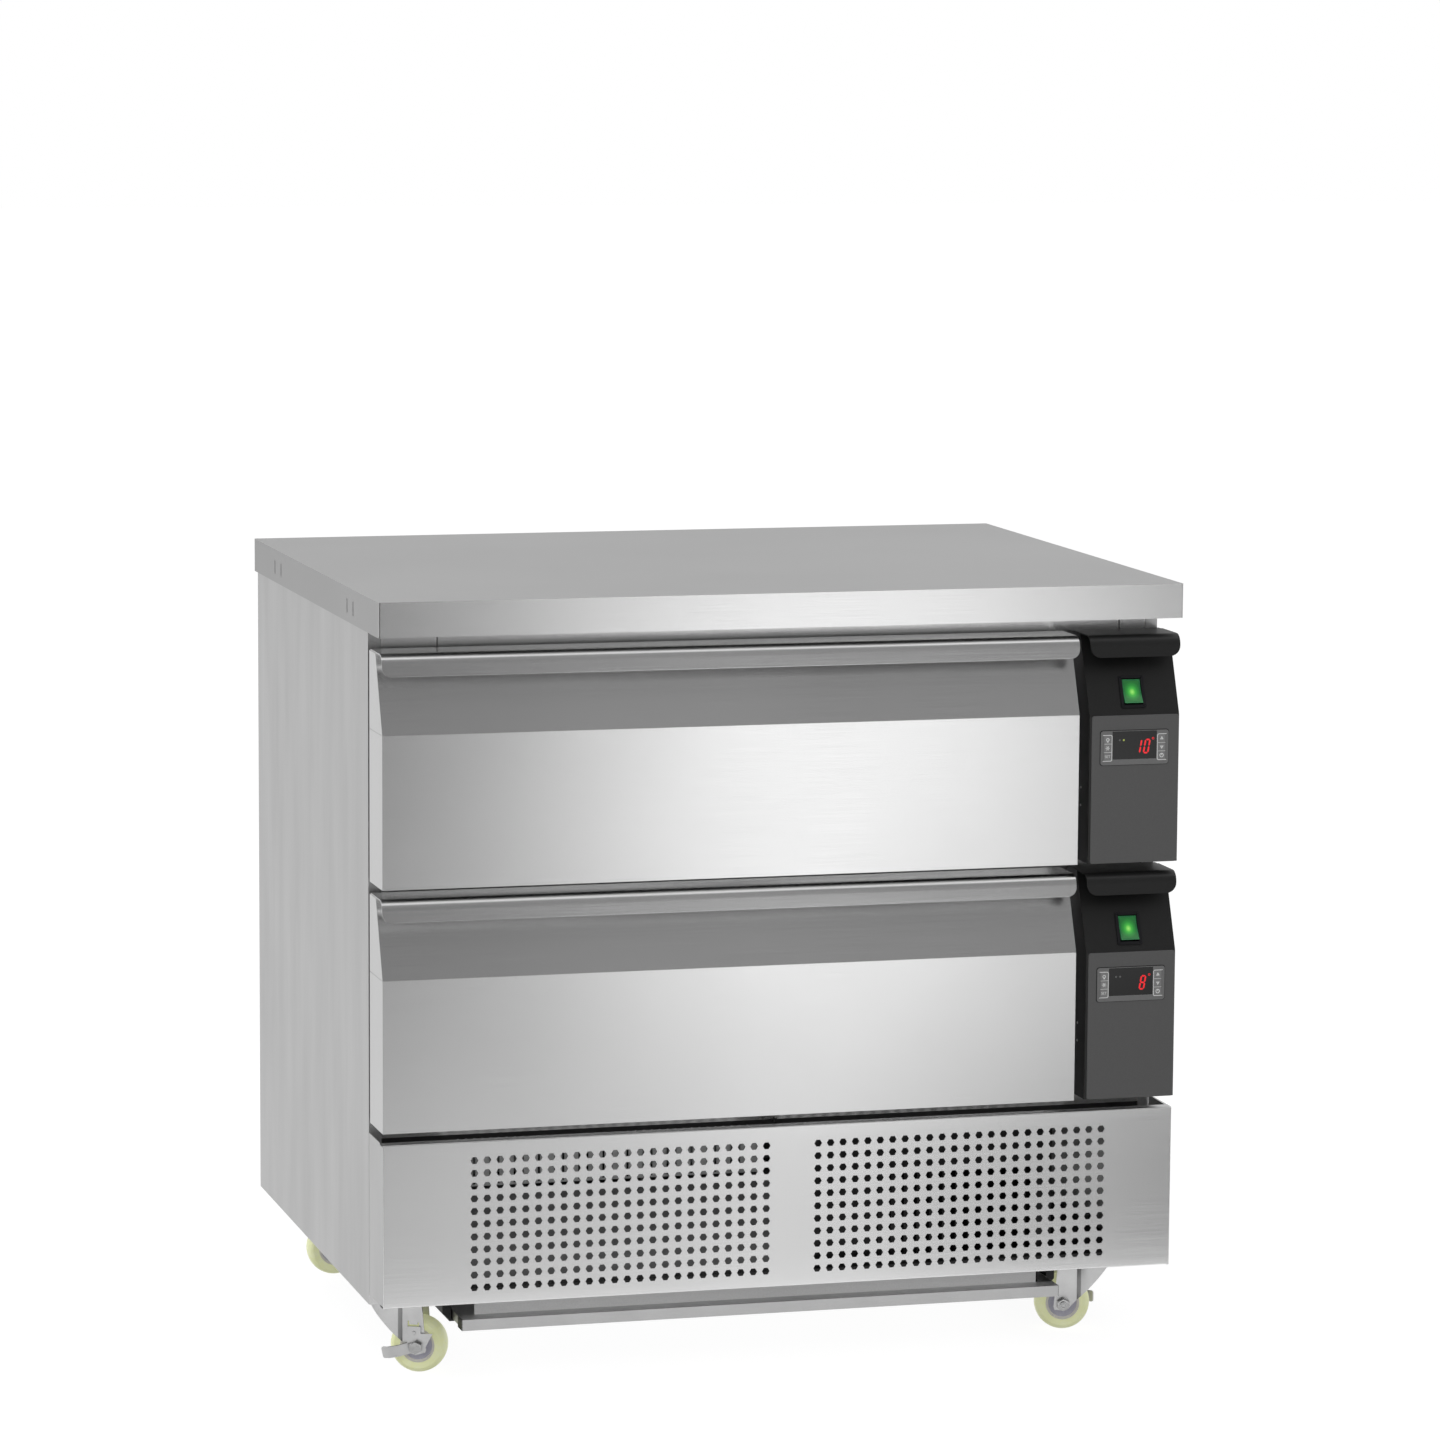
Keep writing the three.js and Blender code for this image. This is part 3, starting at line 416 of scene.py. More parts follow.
def ramp_between(tree, source, low, high, span=(0, 1)):
    """Maps a value from a span to a range."""
    ramp = add_node(tree, "ShaderNodeMapRange")
    tree.links.new(source, ramp.inputs["Value"])
    for key, value in (("From Min", span[0]), ("From Max", span[1]), ("To Min", low), ("To Max", high)):
        ramp.inputs[key].default_value = value
    return ramp.outputs["Result"]


def mixed_colour(tree, factor, first, second):
    mix = add_node(tree, "ShaderNodeMix", data_type="RGBA")
    tree.links.new(factor, mix.inputs["Factor"])
    mix.inputs[6].default_value = (*first, 1)
    mix.inputs[7].default_value = (*second, 1)
    return mix.outputs[2]


def colour_ramp(tree, stops):
    """A ramp through pairs of place and colour."""
    ramp = add_node(tree, "ShaderNodeValToRGB")
    elements = ramp.color_ramp.elements
    while len(elements) < len(stops):
        elements.new(0.5)
    for element, (position, colour) in zip(elements, stops):
        element.position = position
        element.color = (*colour, 1)
    return ramp


def bumped(tree, shader, height, strength, distance):
    bump = add_node(tree, "ShaderNodeBump", Strength=strength, Distance=distance)
    tree.links.new(height, bump.inputs["Height"])
    tree.links.new(bump.outputs["Normal"], shader.inputs["Normal"])


def brushed_metal(
    name,
    dark,
    light,
    stretch,
    cloud_size,
    roughness,
    bump,
    metallic=1.0,
    cloud_share=0.5,
    drawn=0.0,
    turn=0.0,
):
    """Brushed sheet: streaks and clouds vary its colour and roughness a little."""
    material, tree, shader = new_material(name)
    grain = add_node(tree, "ShaderNodeGroup", node_tree=GRAIN)
    grain.inputs["Stretch"].default_value = stretch
    grain.inputs["Cloud size"].default_value = cloud_size
    blend = add_node(tree, "ShaderNodeMix", data_type="FLOAT")
    blend.inputs["Factor"].default_value = cloud_share
    tree.links.new(grain.outputs["Streaks"], blend.inputs[2])
    tree.links.new(grain.outputs["Clouds"], blend.inputs[3])
    spread_out = ramp_between(tree, blend.outputs[0], 0, 1, NOISE_SPAN)
    tree.links.new(mixed_colour(tree, spread_out, dark, light), shader.inputs["Base Color"])
    rough = ramp_between(tree, grain.outputs["Streaks"], *roughness, NOISE_SPAN)
    tree.links.new(rough, shader.inputs["Roughness"])
    shader.inputs["Metallic"].default_value = metallic
    shader.inputs["Anisotropic"].default_value = drawn
    shader.inputs["Anisotropic Rotation"].default_value = turn
    bumped(tree, shader, grain.outputs["Streaks"], *bump)
    return material


def grey(level):
    return (level, level, level)


# Grain: how often it repeats along x, y and z
ALONG_X = (8, 1400, 1400)
ALONG_Z = (1400, 1400, 8)
SIDE_CLOUDS = (20, 20, 4)
WIDE = (3, 3, 3)
PATCHY = (18, 18, 18)
SPANGLED = (25, 25, 25)
MOTTLED = (30, 30, 30)
CAST = (60, 60, 60)
PLATED = (90, 90, 90)
FINE = (120, 120, 120)
GRITTY = (200, 200, 200)

# Bumps: strength and depth
STEEL_BUMP = (0.12, 0.0002)
COARSE_BUMP = (0.1, 0.0002)
PAINT_BUMP = (0.1, 0.0001)
RAW_BUMP = (0.15, 0.0002)
SHEET_BUMP = (0.08, 0.0002)
PLASTIC_BUMP = (0.06, 0.0001)
MOULDED_BUMP = (0.05, 0.0002)
FAINT_BUMP = (0.05, 0.0001)
PRINT_BUMP = (0.02, 0.0001)
NO_BUMP = (0.0, 0.0001)

steel_front = brushed_metal(
    "steel_front", grey(0.76), grey(0.86), ALONG_X, WIDE, (0.18, 0.24), STEEL_BUMP, drawn=0.7, turn=0.25
)
# The side, top and edge steels have their own grain and roughness, and a darker colour than the front's:
# painted shade for faces that look sideways or up.
steel_side = brushed_metal(
    "steel_side", grey(0.62), grey(0.76), ALONG_Z, SIDE_CLOUDS, (0.34, 0.42), STEEL_BUMP
)
steel_top = brushed_metal("steel_top", grey(0.58), grey(0.65), ALONG_X, WIDE, (0.28, 0.36), STEEL_BUMP)
steel_edge = brushed_metal("steel_edge", grey(0.5), grey(0.56), ALONG_Z, WIDE, (0.34, 0.42), STEEL_BUMP)
steel_part = brushed_metal("steel_part", grey(0.62), grey(0.76), GRITTY, WIDE, (0.25, 0.4), SHEET_BUMP)
galvanised = brushed_metal(
    "galvanised", grey(0.42), grey(0.62), CAST, SPANGLED, (0.4, 0.6), COARSE_BUMP, 0.9, 0.6
)
zinc = brushed_metal("zinc", grey(0.6), grey(0.74), PLATED, MOTTLED, (0.28, 0.42), SHEET_BUMP)
# Darker zinc: painted shade in the hollow fold between a fork's crown and its leg.
zinc_painted_shade = brushed_metal("zinc_painted_shade", grey(0.28), grey(0.4), PLATED, MOTTLED, (0.35, 0.5), SHEET_BUMP)
bolt_steel = brushed_metal("bolt_steel", grey(0.42), grey(0.6), PLATED, GRITTY, (0.14, 0.25), FAINT_BUMP)
rail_pale = brushed_metal("rail_pale", grey(0.52), grey(0.62), CAST, PATCHY, (0.35, 0.45), SHEET_BUMP)
# Pale, nearly matte copy of the steel: painted light on the frame's apron and the tray's top faces, which
# sit in shade.
pale_painted_light = brushed_metal(
    "pale_painted_light", grey(0.8), grey(0.88), CAST, PATCHY, (0.45, 0.55), SHEET_BUMP, 0.2
)
liner = brushed_metal("liner", grey(0.6), grey(0.7), FINE, WIDE, (0.3, 0.42), SHEET_BUMP)


def speckled(name, dark, light, scale, roughness, bump, metallic=0.0, coat=0.0, glow=0.0):
    """Moulded or painted surface with a fine even texture. A glow adds a faint painted light of its own."""
    material, tree, shader = new_material(name)
    place = add_node(tree, "ShaderNodeTexCoord")
    noise = add_node(tree, "ShaderNodeTexNoise", Scale=scale, Detail=3, Roughness=NOISE_SHARE)
    tree.links.new(place.outputs["Object"], noise.inputs["Vector"])
    spread_out = ramp_between(tree, noise.outputs["Fac"], 0, 1, NOISE_SPAN)
    colour = mixed_colour(tree, spread_out, dark, light)
    tree.links.new(colour, shader.inputs["Base Color"])
    if glow:
        tree.links.new(colour, shader.inputs["Emission Color"])
        shader.inputs["Emission Strength"].default_value = glow
    tree.links.new(ramp_between(tree, noise.outputs["Fac"], *roughness), shader.inputs["Roughness"])
    shader.inputs["Metallic"].default_value = metallic
    shader.inputs["Coat Weight"].default_value = coat
    bumped(tree, shader, noise.outputs["Fac"], *bump)
    return material


black_paint = speckled("black_paint", grey(0.011), grey(0.017), 900, (0.32, 0.45), PAINT_BUMP)
black_metal = speckled("black_metal", grey(0.012), grey(0.03), 300, (0.4, 0.6), RAW_BUMP)
# Near-black sheet as painted shade: on the base frame, on the frame's sill and the band under its top rail,
# and on the tray's rail ends.
painted_shade = speckled("painted_shade", grey(0.02), grey(0.035), 90, (0.45, 0.6), SHEET_BUMP, 0.3)
# Dark grey, darker than galvanised sheet: painted shade behind the grille.
baffle_metal = speckled("baffle_metal", grey(0.2), grey(0.25), 90, (0.4, 0.55), SHEET_BUMP, 0.3)
# Pale sheet that glows: painted light on the cross plate under the grille, which sits in shade.
cross_painted_light = speckled("cross_painted_light", grey(0.8), grey(0.88), 500, (0.45, 0.55), FAINT_BUMP, glow=0.16)
grey_plate = speckled("grey_plate", grey(0.118), grey(0.13), 700, (0.35, 0.5), PLASTIC_BUMP)
rubber = speckled("rubber", grey(0.01), grey(0.02), 500, (0.6, 0.8), COARSE_BUMP)
fan_plastic = speckled("fan_plastic", grey(0.015), grey(0.025), 500, (0.5, 0.65), SHEET_BUMP)
controller_plastic = speckled("controller_plastic", grey(0.2), grey(0.22), 900, (0.35, 0.45), PLASTIC_BUMP)
key_plastic = speckled("key_plastic", grey(0.26), grey(0.3), 900, (0.4, 0.5), PLASTIC_BUMP)
print_white = speckled("print_white", grey(0.88), grey(0.95), 900, (0.5, 0.6), PRINT_BUMP)
display_glass = speckled("display_glass", grey(0.002), grey(0.004), 300, (0.1, 0.15), NO_BUMP)
bezel_plastic = speckled(
    "bezel_plastic", (0.004, 0.004, 0.006), (0.007, 0.007, 0.01), 900, (0.25, 0.35), PLASTIC_BUMP
)
rocker_green = speckled("rocker_green", (0.02, 0.2, 0.06), (0.03, 0.26, 0.08), 300, (0.15, 0.22), NO_BUMP)
# The tread, hub and hub ring glow a little: painted light, as they sit in shade under the base.
tread_plastic = speckled(
    "tread_plastic", (0.8, 0.83, 0.46), (0.87, 0.9, 0.56), 60, (0.22, 0.32), MOULDED_BUMP, glow=0.35
)
hub_plastic = speckled(
    "hub_plastic", (0.45, 0.445, 0.52), (0.53, 0.525, 0.6), 300, (0.4, 0.55), MOULDED_BUMP, glow=0.15
)
ring_plastic = speckled(
    "ring_plastic", (0.6, 0.58, 0.52), (0.68, 0.66, 0.6), 300, (0.35, 0.5), MOULDED_BUMP, glow=0.25
)


def glowing(name, dim, bright, scale=900):
    """Lit plastic, a little uneven."""
    material, tree, shader = new_material(name)
    place = add_node(tree, "ShaderNodeTexCoord")
    noise = add_node(tree, "ShaderNodeTexNoise", Scale=scale, Detail=2, Roughness=CLOUD_SHARE)
    tree.links.new(place.outputs["Object"], noise.inputs["Vector"])
    spread_out = ramp_between(tree, noise.outputs["Fac"], 0, 1, NOISE_SPAN)
    glow = mixed_colour(tree, spread_out, dim, bright)
    tree.links.new(glow, shader.inputs["Emission Color"])
    shader.inputs["Emission Strength"].default_value = 1
    shader.inputs["Base Color"].default_value = (*(channel * GLOW_BASE_SHARE for channel in dim), 1)
    shader.inputs["Roughness"].default_value = LIT_ROUGHNESS
    return material


red_digit = glowing("red_digit", (0.72, 0.006, 0.012), (0.9, 0.03, 0.04))
amber_light = glowing("amber_light", (0.22, 0.26, 0.05), (0.3, 0.36, 0.08))
dim_light = glowing("dim_light", grey(0.07), grey(0.09))


# Light of the window from its edge to its middle: share of the way, colour
WINDOW_GLOW = (
    (0.0, (0.01, 0.09, 0.02)),
    (0.35, (0.02, 0.2, 0.03)),
    (0.62, (0.055, 0.38, 0.05)),
    (0.85, (0.26, 0.68, 0.12)),
    (0.95, (0.5, 0.88, 0.3)),
)


def lit_window(name, centre, size):
    """Green window, brightest round the lamp behind its middle."""
    material, tree, shader = new_material(name)
    place = add_node(tree, "ShaderNodeTexCoord")
    around = add_node(tree, "ShaderNodeMapping", vector_type="TEXTURE")
    around.inputs["Location"].default_value = centre
    around.inputs["Scale"].default_value = size
    fall = add_node(tree, "ShaderNodeTexGradient", gradient_type="SPHERICAL")
    ramp = colour_ramp(tree, WINDOW_GLOW)
    tree.links.new(place.outputs["Object"], around.inputs["Vector"])
    tree.links.new(around.outputs["Vector"], fall.inputs["Vector"])
    tree.links.new(fall.outputs["Fac"], ramp.inputs["Fac"])
    tree.links.new(ramp.outputs["Color"], shader.inputs["Emission Color"])
    shader.inputs["Emission Strength"].default_value = 1
    shader.inputs["Base Color"].default_value = WINDOW_GREEN
    shader.inputs["Roughness"].default_value = WINDOW_ROUGHNESS
    return material


# Worktop: folded slab with a return lip underneath and two pairs of dimples on each side edge
def worktop():
    low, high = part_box("worktop")
    piece = block("worktop_sheet", low, high)
    pick(piece, "FACE", faces_to(0, 0, -1))
    bpy.ops.mesh.inset(thickness=WORKTOP_LIP)
    pull(0, 0, WORKTOP_HOLLOW)
    pull(0, 0, 0)
    size = high - low
    hollow = 2 * WORKTOP_ROUND
    factors = [(size[i] - 2 * hollow) / (size[i] - 2 * WORKTOP_LIP) for i in (0, 1)]
    spread((0, 0, 0), *factors, 1)
    pull(0, 0, size.z - WORKTOP_PLATE - WORKTOP_HOLLOW)
    done()

    def outside(edge):
        on_side = [all(abs(abs(point.co[i]) - high[i]) < NEAR for point in edge.verts) for i in (0, 1)]
        level = [at("z", low.z)(edge), at("z", high.z)(edge)]
        return sum(on_side) + sum(level) == 2

    round_edges(piece, outside, WORKTOP_ROUND, 4)
    for y in DIMPLE_PLACES:
        dent = rod("dent", "x", (low.x, y, DIMPLE_LEVEL), DIMPLE_WIDTH / 2, 2 * DIMPLE_DEPTH)
        for side in (1, -1):
            reach = side * (DIMPLE_HEIGHT - DIMPLE_WIDTH) / 2
            move(dent, "VERT", lambda point: side * (point.co.z - DIMPLE_LEVEL) > NEAR, 0, 0, reach)
        cut(piece, dent)
    # The top and ends take darker copies of the front's steel: painted shade.
    settle(piece, "root", steel_top, "stainless", "worktop")
    paint(piece, steel_front, lambda face: face.normal.y < -FRONT_FACING)
    paint(piece, steel_edge, lambda face: abs(face.normal.x) > FRONT_FACING)


# Drawer fronts and their lips
def sloped_front(name, low, high, knee, top):
    """A front with a sloping upper part, open at its back."""
    piece = block(name, low, (high.x, high.y, knee))
    extrude(piece, "FACE", faces_to(0, 0, 1), 0, 0, top - knee)
    lean = SLOPE_RUN / KNEE_DROP * (top - knee)
    move(piece, "EDGE", both(at("y", low.y), at("z", top)), 0, lean, 0)
    pick(piece, "FACE", faces_to(0, 1, 0))
    bpy.ops.mesh.inset(thickness=SHEET)
    pull(0, low.y + SHEET - high.y, 0)
    done()
    move(piece, "VERT", both(at("y", low.y + SHEET), at("z", top - SHEET)), 0, lean, 0)
    return piece


def round_front(piece, face_y, knee):
    """Rounds the knee and the outer edges of a front."""
    round_edges(piece, both(at("y", face_y), at("z", knee)), FOLD_ROUND, 3)
    soften(piece)


def seam_across(piece, x, low_y, high_y, z):
    """Cuts a fine seam across one side of a front."""
    cutter = block(
        "seam",
        (x - SEAM_DEPTH, low_y - OVERRUN, z - SEAM_WIDTH / 2),
        (x + SEAM_DEPTH, high_y + OVERRUN, z + SEAM_WIDTH / 2),
    )
    cut(piece, cutter)


def drawer_front(level):
    low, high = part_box(f"{level}_drawer_front")
    lip_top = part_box(f"{level}_handle")[1].z
    knee = lip_top - KNEE_DROP
    piece = sloped_front(f"{level}_drawer_skin", low, high, knee, high.z)
    for x in (low.x, high.x):
        seam_across(piece, x, low.y + FOLD_ROUND, high.y, knee)
    round_front(piece, low.y, knee)
    settle(piece, f"{level}_drawer", steel_front, "stainless", f"{level}_drawer_front")


def folded_lip(name, x0, x1, front, top, corner):
    """The folded lip over a front: a short drop, a bend and a flat that runs back."""

    def over_drop(point):
        return point.co.z > top - LIP_DROP + NEAR and point.co.y < front + LIP_DEPTH - NEAR

    piece = sheet_face(name, (x0, front, top - LIP_DROP), (x1, front, top), "y")
    extrude(piece, "EDGE", at("z", top), 0, LIP_DEPTH, 0)
    round_edges(piece, both(at("z", top), at("y", front)), LIP_RADIUS, LIP_STEPS)
    move(piece, "VERT", over_drop, 0, LIP_LEAN, 0)
    pick(piece, "VERT", at("z", top - LIP_DROP))
    bpy.ops.mesh.bevel(offset=corner, segments=LIP_STEPS, affect="VERTICES")
    done()
    thicken(piece)
    soften(piece, EDGE_ROUND, 2, LIP_ANGLE)
    return piece


def drawer_lip(level):
    low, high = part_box(f"{level}_handle")
    piece = folded_lip(f"{level}_drawer_lip", low.x, high.x, low.y, high.z, LIP_CORNER)
    settle(piece, f"{level}_drawer", steel_front, "stainless", f"{level}_handle")


# Grille panel: two fields of hexagonal holes
HOLE_ACROSS = 0.0076
HOLE_COLUMNS = 24
HOLE_ROWS = 11
FIELD_LEFT = 0.1047
FIELD_WIDTH = 0.3274
FIELD_SEPARATION = 0.0587
FIELD_DROP = 0.021
FIELD_HEIGHT = 0.14
GRILLE_FLANGE = 0.015
GRILLE_SIDE = 0.0712
HOLE_ROUND = 0.0003
RIM_ANGLE = math.radians(65)
RING_SHARE = 1.5


def hole_field(name, x, y, z):
    """Rows of cells, each a rectangle round a hexagonal hole, to the right and down from the first hole."""
    pitch_x = FIELD_WIDTH / (HOLE_COLUMNS - 1)
    pitch_z = FIELD_HEIGHT / (HOLE_ROWS - 1)
    bpy.ops.object.select_all(action="DESELECT")
    radius = HOLE_ACROSS / math.sqrt(3)
    bpy.ops.mesh.primitive_circle_add(
        vertices=HEX_SIDES, radius=radius, location=(x, y, z), rotation=(math.pi / 2, math.pi / 2, 0)
    )
    piece = fix_place(bpy.context.object)
    piece.name = name
    pick(piece, "EDGE", lambda edge: True)
    pull(0, 0, 0)
    spread((x, y, z), RING_SHARE, 1, RING_SHARE)
    done()
    ring = radius * RING_SHARE
    corner = ring / 2

    def is_end(point):
        return abs(abs(point.co.x - x) - ring) < NEAR

    def is_corner(point):
        return abs(abs(point.co.x - x) - corner) < NEAR and abs(point.co.z - z) > radius

    pick(piece, "VERT", is_end)
    spread((x, y, z), pitch_x / 2 / ring, 1, 1)
    done()
    pick(piece, "VERT", is_corner)
    spread((x, y, z), pitch_x / 2 / corner, 1, pitch_z / 2 / (corner * math.sqrt(3)))
    done()
    pick(piece, "FACE", lambda face: face.normal.y > 0)
    bpy.ops.mesh.flip_normals()
    done()
    for count, way in ((HOLE_COLUMNS, (pitch_x, 0, 0)), (HOLE_ROWS, (0, 0, -pitch_z))):
        apply(
            piece,
            "ARRAY",
            count=count,
            use_relative_offset=False,
            use_constant_offset=True,
            constant_offset_displace=way,
            use_merge_vertices=True,
            merge_threshold=MERGE,
        )
    return piece


def grille_panel():
    low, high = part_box("grille_panel")
    first_x = -WIDTH / 2 + FIELD_LEFT
    first_z = high.z - FIELD_DROP
    second_x = first_x + FIELD_WIDTH + FIELD_SEPARATION
    left_field = hole_field("left_field", first_x, low.y, first_z)
    right_field = hole_field("right_field", second_x, low.y, first_z)
    piece = join("grille_sheet", [left_field, right_field])
    half_x = FIELD_WIDTH / (HOLE_COLUMNS - 1) / 2
    half_z = FIELD_HEIGHT / (HOLE_ROWS - 1) / 2
    inner = (first_x + FIELD_WIDTH + half_x, second_x - half_x)
    pick(piece, "EDGE", lambda edge: any(at("x", x)(edge) for x in inner))
    bpy.ops.mesh.bridge_edge_loops()
    done()
    outer = (first_x - half_x, second_x + FIELD_WIDTH + half_x)
    for start, end in zip(outer, (low.x, high.x)):
        extrude(piece, "EDGE", at("x", start), end - start, 0, 0)
    for start, end in ((first_z + half_z, high.z), (first_z - FIELD_HEIGHT - half_z, low.z)):
        extrude(piece, "EDGE", at("z", start), 0, 0, end - start)
    for axis, place, depth in (
        ("x", low.x, GRILLE_SIDE),
        ("x", high.x, GRILLE_SIDE),
        ("z", high.z, GRILLE_FLANGE),
        ("z", low.z, GRILLE_FLANGE),
    ):
        extrude(piece, "EDGE", both(at(axis, place), at("y", low.y)), 0, depth, 0)
    for axis, place in (("x", low.x), ("x", high.x), ("z", low.z), ("z", high.z)):
        round_edges(piece, both(at(axis, place), at("y", low.y)), FOLD_ROUND, 3)
    thicken(piece)
    soften(piece, HOLE_ROUND, 1, RIM_ANGLE)
    settle(piece, "root", steel_front, "stainless", "grille_panel")
    # The side folds take the darker side steel: painted shade.
    paint(piece, steel_side, lambda face: abs(face.normal.x) > FRONT_FACING)


# Front frame: its apron has fine air slits, and its top rail two seams
SLIT_WIDTH = 0.0025
SLIT_PITCH = 0.0091
SLIT_FIRST = -0.3495
SLIT_COUNT = 37
SLIT_LOW = 0.2205
SLIT_HIGH = 0.272
RAIL_SEAMS = (-0.3726, 0.4035)
RAIL_SEAM_WIDTH = 0.0018
RAIL_SEAM_LOW = 0.795
# Levels of the painted shade on the sill and on the band under the top rail; the apron between them takes
# painted light.
SILL_TOP = 0.1052
BAND_LEVELS = (0.2655, 0.277)
LATCH_HOLE = (-0.0052, 0.2798)
LATCH_RADIUS = 0.0019
CROSS_SLOT = (0.0087, 0.2769)
CROSS_HALF = 0.0032
CROSS_THIN = 0.0009


def front_frame():
    piece = node_copy("front_frame", "front_frame_sheet")
    low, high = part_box("front_frame")

    def slot(name, x, half_width, bottom, top):
        """A cutter through the sheet."""
        cut_low = (x - half_width, low.y - OVERRUN, bottom)
        return block(name, cut_low, (x + half_width, high.y + OVERRUN, top))

    slit = slot("slit", SLIT_FIRST, SLIT_WIDTH / 2, SLIT_LOW, SLIT_HIGH)
    apply(
        slit,
        "ARRAY",
        count=SLIT_COUNT,
        use_relative_offset=False,
        use_constant_offset=True,
        constant_offset_displace=(SLIT_PITCH, 0, 0),
    )
    seams = [
        slot("rail_seam", x, RAIL_SEAM_WIDTH / 2, RAIL_SEAM_LOW, high.z + OVERRUN) for x in RAIL_SEAMS
    ]
    hole = rod("latch_hole", "y", (LATCH_HOLE[0], low.y, LATCH_HOLE[1]), LATCH_RADIUS, 2 * OVERRUN)
    cross_x, cross_z = CROSS_SLOT
    bars = [
        slot("cross_slot", cross_x, wide, cross_z - tall, cross_z + tall)
        for wide, tall in ((CROSS_HALF, CROSS_THIN), (CROSS_THIN, CROSS_HALF))
    ]
    cut(piece, slit, *seams, hole, *bars)
    soften(piece, EDGE_ROUND / 2, 1)
    for level in (SILL_TOP, *BAND_LEVELS):
        pick(piece, "FACE", lambda face: True)
        bpy.ops.mesh.bisect(plane_co=(0, 0, level), plane_no=(0, 0, 1))
        done()
    settle(piece, "root", steel_front, "stainless", "front_frame")
    # Painted shade on the sill and the band under the top rail, painted light on the apron between them.
    for material, bottom, top in (
        (painted_shade, low.z, SILL_TOP),
        (pale_painted_light, SILL_TOP, BAND_LEVELS[0]),
        (painted_shade, *BAND_LEVELS),
    ):
        paint(piece, material, lambda face: bottom < face.calc_center_median().z < top)


def outer_casing():
    piece = node_copy("outer_casing", "casing_sheet")
    soften(piece, EDGE_ROUND, 2)
    # The casing takes the darker side steel: painted shade.
    settle(piece, "root", steel_side, "stainless", "outer_casing")


# Control boxes: black housings with a lip, a lit switch and a controller set in a grey plate
CONTROL_FACE = 0.002
PLATE_LEFT = 0.0025
PLATE_RIGHT = 0.0005
PLATE_PROUD = 0.001
PLATE_CORNER = 0.003
SWITCH_RISE = 0.0245
SLOPE_ANGLE = math.atan(SLOPE_RUN / KNEE_DROP)
BEZEL_WIDTH = 0.0285
BEZEL_HEIGHT = 0.037
BEZEL_PROUD = 0.0015
BEZEL_FRAME = 0.0034
BEZEL_CORNER = 0.002
WELL_DEPTH = 0.012
ROCKER_WIDTH = 0.021
ROCKER_HEIGHT = 0.0284
ROCKER_PROUD = 0.002
ROCKER_DISH = 0.0015
ROCKER_DEPTH = 0.007
ROCKER_TAPER = 0.7
ROCKER_TILT = math.radians(7.5)
LENS_FRAME = 0.0018
LENS_SUNK = 0.0004
SCREW_RADIUS = 0.0014
SCREW_HEAD = 0.0006
SCREW_BACK = 0.0275
SCREW_DROPS = (0.1707, 0.1906)
CONTROLLER_RIM = 0.0035
WINDOW_PROUD = 0.0003
WINDOW_GLOW_SIZE = (0.0095, 0.0095, 0.0125)
DISH_SHARE = 0.7


def onto_slope(piece, level):
    """Moves a piece modelled round the origin, facing -Y, to the switch's place on the slope."""
    low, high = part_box(f"{level}_control_box")
    knee = high.z - CONTROL_KNEE_DROP
    turn = Matrix.Rotation(-SLOPE_ANGLE, 4, "X")
    y = low.y + CONTROL_FACE + SWITCH_RISE * SLOPE_RUN / KNEE_DROP
    piece.matrix_world = Matrix.Translation(((low.x + high.x) / 2, y, knee + SWITCH_RISE)) @ turn
    return fix_place(piece)


def controller_hole(level, face):
    """A cutter for the controller's body, through the front of a control box."""
    low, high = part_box(f"{level}_controller")
    return block(
        "controller_hole",
        (low.x + CONTROLLER_RIM, face - OVERRUN, low.z + CONTROLLER_RIM),
        (high.x - CONTROLLER_RIM, face + OVERRUN, high.z - CONTROLLER_RIM),
    )


def control_shell(level):
    """Black housing of a control box, and the folded lip over it."""
    low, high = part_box(f"{level}_control_box")
    face = low.y + CONTROL_FACE
    knee = high.z - CONTROL_KNEE_DROP
    top = high.z - SHEET / 2
    piece = sloped_front(f"{level}_control_shell", Vector((low.x, face, low.z)), high, knee, top)
    well = block(
        "switch_hole",
        (-ROCKER_WIDTH / 2 - SHEET, -OVERRUN, -ROCKER_HEIGHT / 2 - SHEET),
        (ROCKER_WIDTH / 2 + SHEET, OVERRUN, ROCKER_HEIGHT / 2 + SHEET),
    )
    cut(piece, controller_hole(level, face), onto_slope(well, level))
    round_front(piece, face, knee)
    settle(piece, "root", black_paint, "black_housing", f"{level}_control_box")
    lip = folded_lip(f"{level}_control_lip", low.x, high.x, low.y, high.z, CONTROL_LIP_CORNER)
    settle(lip, "root", black_paint, "black_housing")


def control_plate(level):
    """Grey plate over the upright face of a control box, with a cut-out for the controller."""
    low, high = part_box(f"{level}_control_box")
    face = low.y + CONTROL_FACE
    knee = high.z - CONTROL_KNEE_DROP
    corners = ((low.x + PLATE_LEFT, face, low.z), (high.x - PLATE_RIGHT, face, knee))
    piece = sheet_face(f"{level}_control_plate", *corners, "y")
    pick(piece, "VERT", lambda point: True)
    bpy.ops.mesh.bevel(offset=PLATE_CORNER, segments=5, affect="VERTICES")
    done()
    extrude(piece, "FACE", lambda face: True, 0, -PLATE_PROUD, 0)
    cut(piece, controller_hole(level, face))
    pick(piece, "EDGE", both(at("y", face - PLATE_PROUD), lambda edge: not at("y", face)(edge)))
    bpy.ops.mesh.bevel(offset=EDGE_ROUND, segments=2, affect="EDGES")
    done()
    settle(piece, "root", grey_plate, "black_housing")


